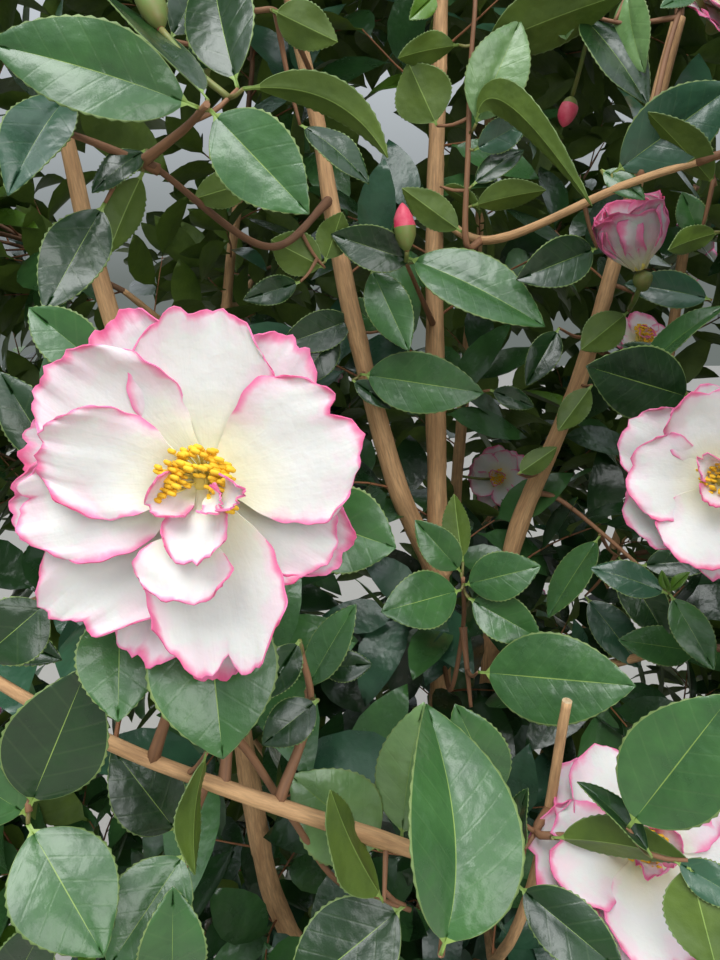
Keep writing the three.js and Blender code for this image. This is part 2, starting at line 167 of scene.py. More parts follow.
LAMPS = [  # name, place and aim in metres, width, watts
    ("overhead", (-0.5, -1.3, 2.7), (0, -0.2, 0.8), 1.4, 36),
    ("front_fill", (0.9, -2.2, 1.5), (0, -0.3, 0.8), 1.2, 17),
]
for lamp_name, lamp_place, lamp_aim, lamp_width, lamp_watts in LAMPS:
    lamp_data = bpy.data.lights.new(lamp_name, "AREA")
    lamp_data.size = lamp_width
    lamp_data.energy = lamp_watts
    lamp = add_object(lamp_name, lamp_data)
    lamp.location = lamp_place
    lamp.rotation_euler = (Vector(lamp_aim) - Vector(lamp_place)).to_track_quat("-Z", "Y").to_euler()

# Limbs
# Living wood: a short foot, six stems, the boughs that show in the crown's front, and a bough for
# each mass of leaves too far from its stem. They run along the same curves as the solids.
TRUNK = {
    "profile": [  # height, radius, and how far the lobes of its root flare stand out
        (0, 42, 6), (14, 35.95, 3.3), (34, 31, 1.2), (62, 31, 0), (84, 35, 0), (96, 28, 0), (100, 14, 0)],
    "lobes": 5,
    "rings": 40,
}
STEM_FOOT = (24, 78)  # ring and height at which the stems start
STEMS = {
    "stem_front": (-90, (9.5, 4.5), [(6, -92, 420), (9, -120, 600), (0, -152, 774),
                                     (-4, -142, 930), (2, -92, 1085)]),
    "stem_front_right": (-30, (9.5, 3.8), [(62, -64, 360), (46, -112, 610), (52, -146, 735),
                                           (88, -164, 860), (132, -152, 1050)]),
    "stem_front_left": (-150, (9, 3.8), [(-70, -110, 330), (-108, -190, 500), (-128, -222, 690),
                                         (-178, -228, 880), (-198, -222, 975)]),
    "stem_right": (30, (9, 3.8), [(95, 40, 300), (165, 55, 560), (215, 40, 800), (225, 30, 990)]),
    "stem_back": (90, (9.5, 4), [(18, 85, 330), (46, 140, 620), (62, 150, 880), (70, 110, 1090)]),
    "stem_back_left": (150, (9, 3.8), [(-88, 60, 320), (-150, 100, 600), (-180, 110, 850),
                                       (-150, 95, 1060)]),
}
BRANCHES = {
    "arm_front": ("stem_front", 0.53, (7.2, 3.4), [(-28, -165, 784), (-58, -170, 900),
                                                   (-76, -158, 1000), (-96, -146, 1085)]),
    "bough_long": ("stem_front", 0.4, (5.2, 1.9), [(16, -215, 552), (6, -320, 628), (-31, -375, 685),
                                                   (-128, -394, 738), (-212, -366, 768)]),
    "bough_high_left": ("arm_front", 0.62, (3.6, 2.2), [(-94, -246, 916), (-131, -318, 940)]),
    "bough_high_right": ("stem_front", 0.82, (3.6, 2.0), [(22, -200, 924), (83, -238, 947),
                                                          (140, -252, 962)]),
    "stub_pruned": ("stem_front_right", 0.36, (4.4, 2.6), [(38, -190, 470), (24, -302, 570),
                                                           (30, -332, 646), (34, -345, 730)]),
}
BOUGH = {"radii": (4.2, 2.6), "share": 0.56, "sag": 0.1}
CROWN = {"middle": 730, "height": 590, "width": 470, "depth": 455, "squareness": 2.4}
TIERS = [  # name, height, ring, count, turn of the first, blooms on each mass
    ("skirt", 255, 275, 5, -72, 1),
    ("lower", 465, 318, 6, -100, 1),
    ("middle", 700, 322, 7, -95, 2),
    ("upper", 945, 318, 6, -120, 1),
    ("top", 1155, 190, 4, -128, 1),
    ("crest", 1205, 0, 1, 0, 0),
]
CARRIED = {
    "mass_middle_7": "bough_long",
    "mass_upper_1": "bough_high_left",
    "mass_upper_2": "bough_high_right",
    "mass_upper_3": "stem_right",
    "mass_top_1": "arm_front",
    "mass_top_2": "stem_front_right",
    "mass_top_3": "stem_back",
    "mass_top_4": "stem_back_left",
    "mass_crest_1": "stem_front",
}
LONGEST_STALK = 150
PERCH = {"gap": 34, "bare_foot": 0.2, "step": 0.04, "drop": 50, "cost_above": 1.5}


def polar(turn, ring, height):
    angle = math.radians(turn)
    return Vector((ring * math.cos(angle), ring * math.sin(angle), height))


def on_curve(points, share):
    """The point at a share of a smooth curve through some points."""
    stretches = len(points) - 1
    passed = min(share, 1) * stretches
    k = min(int(passed), stretches - 1)
    w = passed - k
    a, b = points[k], points[k + 1]
    before = points[k - 1] if k else a * 2 - b
    after = points[k + 2] if k + 2 < len(points) else b * 2 - a
    pull, push = (b - before) / 2, (after - a) / 2
    bent = (b - a) * 3 - pull * 2 - push
    return a + pull * w + bent * w**2 + ((a - b) * 2 + pull + push) * w**3


def path_along(points, step):
    """Points at about even steps along a smooth curve."""
    length = sum((b - a).length for a, b in zip(points, points[1:]))
    count = max(2, round(length / step))
    return [on_curve(points, k / count) for k in range(count + 1)]


limbs = {}
for name, (turn, radii, through) in STEMS.items():
    limbs[name] = {"points": [polar(turn, *STEM_FOOT), *map(Vector, through)], "radii": radii}
for name, (parent, share, radii, through) in BRANCHES.items():
    start = on_curve(limbs[parent]["points"], share)
    limbs[name] = {"points": [start, *map(Vector, through)], "radii": radii}

masses = []
for tier, height, ring, count, turn, bloom_count in TIERS:
    for i in range(count):
        masses.append({
            "name": f"mass_{tier}_{i + 1}", "tier": tier, "seed": len(masses),
            "middle": polar(turn + 360 * i / count, ring, height), "blooms": bloom_count,
        })


def perch_for(middle):
    """The point of a stem that is best placed to carry a mass: near it, below it, and free."""
    taken = [limb["points"][0] for limb in limbs.values()]
    taken += [mass["start"] for mass in masses if "start" in mass]
    best = None
    for name in STEMS:
        share = PERCH["bare_foot"]
        while share <= 1:
            point = on_curve(limbs[name]["points"], share)
            share += PERCH["step"]
            if any((other - point).length < PERCH["gap"] for other in taken):
                continue
            above = max(0, point.z - middle.z + PERCH["drop"])
            cost = (point - middle).length + PERCH["cost_above"] * above
            if best is None or cost < best[0]:
                best = (cost, point)
    return best[1]


for mass in masses:
    if mass["name"] in CARRIED:
        mass["start"] = limbs[CARRIED[mass["name"]]]["points"][-1]
for mass in masses:
    if "start" in mass:
        continue
    perch = perch_for(mass["middle"])
    mass["start"] = perch
    if (perch - mass["middle"]).length > LONGEST_STALK:
        tip = perch.lerp(mass["middle"], BOUGH["share"])
        bend = perch.lerp(tip, 0.5)
        bend.z -= BOUGH["sag"] * (tip - perch).length
        mass["start"] = tip
        limbs[mass["name"].replace("mass", "bough")] = {
            "points": [perch, bend, tip], "radii": BOUGH["radii"]}

# Bark
# Thin, light brown bark: fine fissures run along each limb, low rings mark where leaves once were,
# and a limb swells where it leaves its parent. The pruned stub ends in a pale cut.
BARK_STEP = 4
SIDES = {"trunk": 60, "stem": 18, "bough": 12}
COLLAR = {"swell": 0.45, "length": 14}
FISSURE = {"depth": 0.075, "across": 0.42, "along": 0.035}
LUMP = {"depth": 0.12, "spread": 0.03}
PHASE = {"lumps": 1.7, "scars": 9, "turn": 2.4}  # how far apart two limbs' patterns lie
UNEVEN = {"depth": 0.06, "spread": 5, "rise": 0.03, "fine_depth": 0.03, "finer": 3}
SCAR = {"every": 63, "rise": 0.09, "length": 2.4}
GRAIN_STRETCH = 0.1  # how far the grain's pattern is drawn out along a limb
BARK_PATCHES = {"scale": 260.0, "share": 0.9}
BARK_STREAKS = {"scale": 900.0, "share": 0.48}
STREAK_BROWN = colour(116, 86, 60)
SLIMMER_LIMBS = {  # share of the solids' thickness
    "bough_high_left": 0.62,
    "bough_high_right": 0.78,
    "stub_pruned": 0.8,
}


def calculate(tree, operation, *values):
    """A sum, a product or the like of sockets and numbers."""
    return add_node(tree, "ShaderNodeMath", dict(enumerate(values)), operation=operation).outputs[0]


def new_group(name, kind, inputs, outputs):
    """A tree of nodes with its own sockets, and what its inputs give."""
    group = bpy.data.node_groups.new(name, kind)
    for way, sockets in (("INPUT", inputs), ("OUTPUT", outputs)):
        for label, socket in sockets.items():
            group.interface.new_socket(label, in_out=way, socket_type=f"NodeSocket{socket}")
    return group, add_node(group, "NodeGroupInput").outputs


def mottle_group():
    """A colour that drifts towards a tint in soft patches, and the grain of the same patches."""
    group, given = new_group("mottle", "ShaderNodeTree", {
        "Place": "Vector", "Scale": "Float", "Colour": "Color", "Tint": "Color", "Share": "Float",
    }, {"Colour": "Color", "Grain": "Float"})
    patches = add_node(group, "ShaderNodeTexNoise", {
        "Vector": given["Place"], "Scale": given["Scale"], "Detail": 5.0, "Roughness": 0.6})
    spread = map_range(group, patches.outputs["Fac"], (0.35, 0.68))
    amount = calculate(group, "MULTIPLY", spread, given["Share"])
    mixed = mix(group, amount, given["Colour"], given["Tint"])
    add_node(group, "NodeGroupOutput", {"Colour": mixed, "Grain": patches.outputs["Fac"]})
    return group


MOTTLE = mottle_group()


def add_mottle(tree, place, base, tint, scale, share):
    """The colour and the grain of soft patches."""
    return add_node(tree, "ShaderNodeGroup", {
        "Place": place, "Scale": scale, "Colour": base, "Tint": tint, "Share": share,
    }, node_tree=MOTTLE).outputs


def emboss(tree, shader, *layers):
    """Bumps of a finish, each a height, a strength and a distance, one on top of the other."""
    below = {}
    for height, strength, distance in layers:
        bump = add_node(tree, "ShaderNodeBump", {
            "Height": height, "Strength": strength, "Distance": distance, **below})
        below = {"Normal": bump.outputs["Normal"]}
    tree.links.new(below["Normal"], shader.inputs["Normal"])


def bark_finish(name, base, tint, roughness, relief):
    """Bark whose patches are drawn out along the limb."""
    made, tree, shader = new_finish(name)
    grain = add_node(tree, "ShaderNodeAttribute", attribute_name="grain").outputs["Vector"]
    patches = add_mottle(tree, grain, base, tint, **BARK_PATCHES)
    streaks = add_mottle(tree, grain, patches["Colour"], STREAK_BROWN, **BARK_STREAKS)
    tree.links.new(streaks["Colour"], shader.inputs["Base Color"])
    shader.inputs["Roughness"].default_value = roughness
    emboss(tree, shader, (streaks["Grain"], 0.7, relief))
    return made


OLD_BARK = bark_finish("old_bark", colour(232, 186, 134), colour(194, 148, 102), 0.8, 0.0006)
DARK_BARK = bark_finish("dark_bark", colour(128, 90, 64), colour(88, 58, 42), 0.75, 0.0004)
CUT_WOOD = bark_finish("cut_wood", colour(222, 200, 160), colour(190, 158, 116), 0.8, 0.0002)
LIMB_FINISHES = [OLD_BARK, CUT_WOOD, DARK_BARK]


def tapered(radii, count):
    """Radii that run evenly from the first to the last."""
    first, last = radii
    return [first + (last - first) * k / (count - 1) for k in range(count)]


def lay_tube(path, radii, sides, swell=None, end_finish=0):
    """Rings of points round a path, each end closed by one face, as the part of a piece."""
    points, grain, faces = [], [], []
    across, passed = None, 0
    for k, middle in enumerate(path):
        along = (path[min(k + 1, len(path) - 1)] - path[max(k - 1, 0)]).normalized()
        across = across or along.orthogonal()
        across = (across - along * across.dot(along)).normalized()
        other = along.cross(across)
        passed += (middle - path[k - 1]).length if k else 0
        for i in range(sides):
            angle = 2 * math.pi * i / sides
            reach = radii[k] * (1 + (swell(passed, angle, radii[k]) if swell else 0))
            points.append(middle + (across * math.cos(angle) + other * math.sin(angle)) * reach)
            grain.append((reach * math.cos(angle), reach * math.sin(angle), passed * GRAIN_STRETCH))
    for start in range(0, (len(path) - 1) * sides, sides):
        for i in range(sides):
            j = (i + 1) % sides
            faces.append((start + i, start + j, start + j + sides, start + i + sides))
    last = (len(path) - 1) * sides
    faces += [tuple(range(sides - 1, -1, -1)), tuple(range(last, last + sides))]
    finishes = [0] * (len(faces) - 1) + [end_finish]
    return {"points": np.array(points), "faces": faces, "finishes": finishes,
            "flat": {len(faces) - 1, len(faces) - 2}, "grain": np.array(grain) * MM}


def set_values(mesh, label, kind, values, domain="POINT"):
    """Gives the points or the faces of a mesh their own values."""
    field = "vector" if kind == "FLOAT_VECTOR" else "value"
    mesh.attributes.new(label, kind, domain).data.foreach_set(field, values)


def hand_over(piece, replaced):
    """Makes an object a piece of the shrub that stands for some of its solids."""
    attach(piece, "root")
    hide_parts(*replaced)


def make_piece(name, parts, finishes, replaced):
    """Joins parts into one piece of the shrub, with the points' own values as attributes."""
    mesh = bpy.data.meshes.new(name)
    faces, numbers, smooth, start = [], [], [], 0
    for part in parts:
        faces += [tuple(corner + start for corner in face) for face in part["faces"]]
        numbers += part["finishes"]
        smooth += [k not in part["flat"] for k in range(len(part["faces"]))]
        start += len(part["points"])
    mesh.from_pydata(np.concatenate([part["points"] for part in parts]) * MM, [], faces)
    for finish in finishes:
        mesh.materials.append(finish)
    mesh.polygons.foreach_set("material_index", numbers)
    mesh.polygons.foreach_set("use_smooth", smooth)
    for label in ("grain", "blade", "petal"):
        if label in parts[0]:
            values = np.concatenate([part[label] for part in parts]).astype(np.float32)
            set_values(mesh, label, "FLOAT_VECTOR", values.ravel())
    mesh.update()
    hand_over(add_object(name, mesh), replaced)


def bark_relief(seed):
    """Fissures, lumps, leaf scars and the swollen foot of one limb, as a share of its radius."""
    def relief(passed, angle, radius):
        spot = Vector((radius * math.cos(angle), radius * math.sin(angle), 0))
        fine = noise.noise(spot * FISSURE["across"] + UP * (passed * FISSURE["along"] + seed))
        lumps = noise.noise((spot + UP * passed) * LUMP["spread"] + UP * seed * PHASE["lumps"])
        gap = (passed + PHASE["scars"] * seed) % SCAR["every"] - SCAR["every"] / 2
        scar = SCAR["rise"] * math.exp(-((gap / SCAR["length"]) ** 2))
        scar *= (1 + math.cos(angle + PHASE["turn"] * seed)) / 2
        collar = COLLAR["swell"] * math.exp(-passed / COLLAR["length"])
        return FISSURE["depth"] * fine + LUMP["depth"] * lumps + scar + collar
    return relief


def limb_part(name):
    limb = limbs[name]
    path = path_along(limb["points"], BARK_STEP)
    slim = SLIMMER_LIMBS.get(name, 1)
    radii = [slim * radius for radius in tapered(limb["radii"], len(path))]
    sides = SIDES["stem" if name in stem_names else "bough"]
    end_finish = LIMB_FINISHES.index(CUT_WOOD if name == "stub_pruned" else OLD_BARK)
    part = lay_tube(path, radii, sides, bark_relief(list(limbs).index(name)), end_finish)
    if name == "bough_high_left":
        part["finishes"] = [LIMB_FINISHES.index(DARK_BARK)] * len(part["faces"])
    return part


def trunk_part():
    """The foot: lobes of root flare, a neck, and a broad head that the stems leave."""
    levels, widths, lobes = zip(*TRUNK["profile"])
    path = [Vector((0, 0, k * levels[-1] / TRUNK["rings"])) for k in range(TRUNK["rings"] + 1)]
    radii = [float(np.interp(point.z, levels, widths)) for point in path]

    def flare(passed, angle, radius):
        lobe = np.interp(passed, levels, lobes) * math.cos(TRUNK["lobes"] * angle)
        spot = Vector((math.cos(angle), math.sin(angle), 0)) * UNEVEN["spread"]
        spot += UP * passed * UNEVEN["rise"]
        fine = UNEVEN["fine_depth"] * noise.noise(spot * UNEVEN["finer"])
        return lobe / radius + UNEVEN["depth"] * noise.noise(spot) + fine
    return lay_tube(path, radii, SIDES["trunk"], flare)


stem_names = [name for name in limbs if name.startswith("stem") or name == "arm_front"]
bough_names = [name for name in limbs if name not in stem_names]
make_piece("trunk_bark", [trunk_part()], LIMB_FINISHES[:1], ["trunk"])
make_piece("stems_bark", [limb_part(name) for name in stem_names], LIMB_FINISHES[:2], stem_names)
make_piece("boughs_bark", [limb_part(name) for name in bough_names], LIMB_FINISHES, bough_names)

# Leaf finishes
# A leathery evergreen leaf: its upper face dark and glossy, its underside dull olive, its midrib and
# finely toothed edge yellow-green. Sprays differ in tone, and two tones have sheen painted into their
# colour: the pale tone a whitish sheen, the bluish tone the sky's bluish sheen.
VEINS = {"spacing": 4.2, "slant": 0.8, "line": (0.82, 1.0), "groove": -0.7}
VEIN_GREEN = colour(150, 176, 110)
LEAF_PATCHES = {"scale": 55.0, "share": 0.7}
LEATHER = {"scale": 1400.0, "strength": 0.5, "distance": 0.00012}
PUCKERS = {"scale": 105.0, "strength": 0.55, "distance": 0.0022}
POLISH_DRIFT = (-0.06, 0.08)
GLOSSY = {"roughness": 0.25, "coat": 0.4}
COAT_ROUGHNESS = 0.3
TONES = {  # upper face: colour and the tint that it drifts to
    "deep": (colour(32, 64, 28), colour(20, 45, 22)),
    "mid": (colour(65, 108, 55), colour(43, 79, 43)),
    "bluish_painted_sheen": (colour(56, 95, 68), colour(38, 70, 52)),
    # bluish: a bluer green that paints the sky's sheen onto glossy leaves
    "fresh": (colour(98, 138, 42), colour(70, 108, 34)),
    # pale: a lighter green that paints a whitish sheen onto glossy leaves
    "pale_painted_sheen": (colour(122, 157, 98), colour(78, 118, 64)),
}
# the leaves behind take the bluish tone, with its painted sky sheen, at random among the others
DEALT_TONES = {"deep": 0.4, "mid": 0.4, "bluish_painted_sheen": 0.15, "fresh": 0.05}  # shares of the leaves behind


def vein_group():
    """Lines that leave a midrib at a slant, from a place across and along the blade in millimetres."""
    group, given = new_group("side_veins", "ShaderNodeTree", {"Blade": "Vector"}, {"Line": "Float"})
    axes = add_node(group, "ShaderNodeSeparateXYZ", {"Vector": given["Blade"]}).outputs
    slant = calculate(group, "MULTIPLY", calculate(group, "ABSOLUTE", axes["X"]), VEINS["slant"])
    along = calculate(group, "SUBTRACT", axes["Y"], slant)
    share = calculate(group, "PINGPONG", calculate(group, "DIVIDE", along, VEINS["spacing"]), 1.0)
    add_node(group, "NodeGroupOutput", {"Line": map_range(group, share, VEINS["line"], smooth=True)})
    return group


SIDE_VEINS = vein_group()


def add_noise(tree, place, scale, detail):
    return add_node(tree, "ShaderNodeTexNoise", {
        "Vector": place, "Scale": scale, "Detail": detail}).outputs["Fac"]


def leaf_finish(name, base, tint, roughness, coat=0.0, veins=0.0):
    """A leaf's face. `veins` is how far the side veins are lighter, on leaves that carry them."""
    made, tree, shader = new_finish(name)
    place = add_node(tree, "ShaderNodeTexCoord").outputs["Object"]
    patches = add_mottle(tree, place, base, tint, **LEAF_PATCHES)
    face, height = patches["Colour"], add_noise(tree, place, LEATHER["scale"], 2.0)
    if veins:
        blade = add_node(tree, "ShaderNodeAttribute", attribute_name="blade").outputs["Vector"]
        line = add_node(tree, "ShaderNodeGroup", {"Blade": blade}, node_tree=SIDE_VEINS).outputs["Line"]
        face = mix(tree, calculate(tree, "MULTIPLY", line, veins), face, VEIN_GREEN)
        height = calculate(tree, "MULTIPLY_ADD", line, VEINS["groove"], height)
    tree.links.new(face, shader.inputs["Base Color"])
    polish = map_range(tree, patches["Grain"], target=[roughness + drift for drift in POLISH_DRIFT])
    tree.links.new(polish, shader.inputs["Roughness"])
    shader.inputs["Coat Weight"].default_value = coat
    shader.inputs["Coat Roughness"].default_value = COAT_ROUGHNESS
    swell = add_noise(tree, place, PUCKERS["scale"], 2.0)
    emboss(tree, shader, (swell, PUCKERS["strength"], PUCKERS["distance"]),
           (height, LEATHER["strength"], LEATHER["distance"]))
    return made


near_leaf = [leaf_finish(f"near_leaf_{tone}", *pair, **GLOSSY, veins=0.035) for tone, pair in TONES.items()]
far_leaf = [leaf_finish(f"leaf_{tone}", *TONES[tone], **GLOSSY) for tone in DEALT_TONES]
LEAF_UNDER = leaf_finish("leaf_underside", colour(90, 114, 36), colour(62, 86, 28), 0.55)
LEAF_RIB = leaf_finish("leaf_midrib", colour(142, 168, 84), colour(108, 138, 62), 0.45)
LEAF_EDGE = leaf_finish("leaf_edge", colour(124, 146, 84), colour(84, 112, 58), 0.5)
YOUNG_WOOD = bark_finish("young_wood", colour(156, 112, 78), colour(120, 82, 58), 0.65, 0.0002)
STALK_GREEN = bark_finish("stalk_green", colour(132, 138, 70), colour(112, 104, 60), 0.5, 0.0001)

# Front sprays
# The twigs and leaves that fill the front of the crown, each leaf laid by its base and tip. A leaf
# hangs on the nearest wood by its stalk, or by a short twig where that is further away.
SHAPE = {"ratio": 0.47, "stalk": 0.07, "thickness": 0.35, "tooth": 0.32, "toothed": (0.25, 0.96),
         "rib_to": 0.02, "edge_from": 0.97}
OUTLINE = {"rise": 0.75, "fall": 0.95, "peak": 0.3115, "stalk": 0.75, "thinning": 0.55}
MIDRIB = {"groove": 0.25, "half": 0.1, "broad": 3}
RIPPLE = {"pace": 9, "shift": 1.3}
NEAR_ROWS = 36
NEAR_COLUMNS = np.array([-1, -0.96, -0.7, -0.4, -0.16, -0.013, 0.013, 0.16, 0.4, 0.7, 0.96, 1])
TONE_NAMES = list(TONES)
TWIG_FINISHES = [YOUNG_WOOD, STALK_GREEN]
NEAR_FINISHES = [*near_leaf, LEAF_UNDER, LEAF_RIB, LEAF_EDGE]
UNDER, RIB, EDGE = (NEAR_FINISHES.index(finish) for finish in (LEAF_UNDER, LEAF_RIB, LEAF_EDGE))
LIGHT_WAY = Vector((-0.45, -0.4, 0.8))  # a leaf that is seen narrow is rolled towards the light
ROLLED = 1.15  # how much broader than it shows a leaf is that has its own curve
VARIED = {  # from leaf to leaf: mean, swing and pace
    "bow": (0.05, 0.03, 2.3),
    "fold": (16, 7, 1.7),
    "curl": (0.1, 0.06, 3.1),
    "wave": (0.7, 0.5, 0.9),
}
SPRAY_TWIG = {"radii": (1.7, 1.1), "sides": 8, "step": 5, "touching": 2, "bridged": 12}
LEAF_STALK = {"foot": 0.8, "gap_for_more": 60, "most": 1.4, "tip": 0.72, "sides": 6, "step": 4,
              "sag": 0.08, "touching": 1, "green": 12}
LIMB_SAMPLES = 6  # millimetres between them
SEED_STEPS = {"twig": 0.37, "leaf": 1.1}
FRONT_MASSES = ["mass_middle_1", "mass_middle_7", "mass_upper_1", "mass_upper_2"]
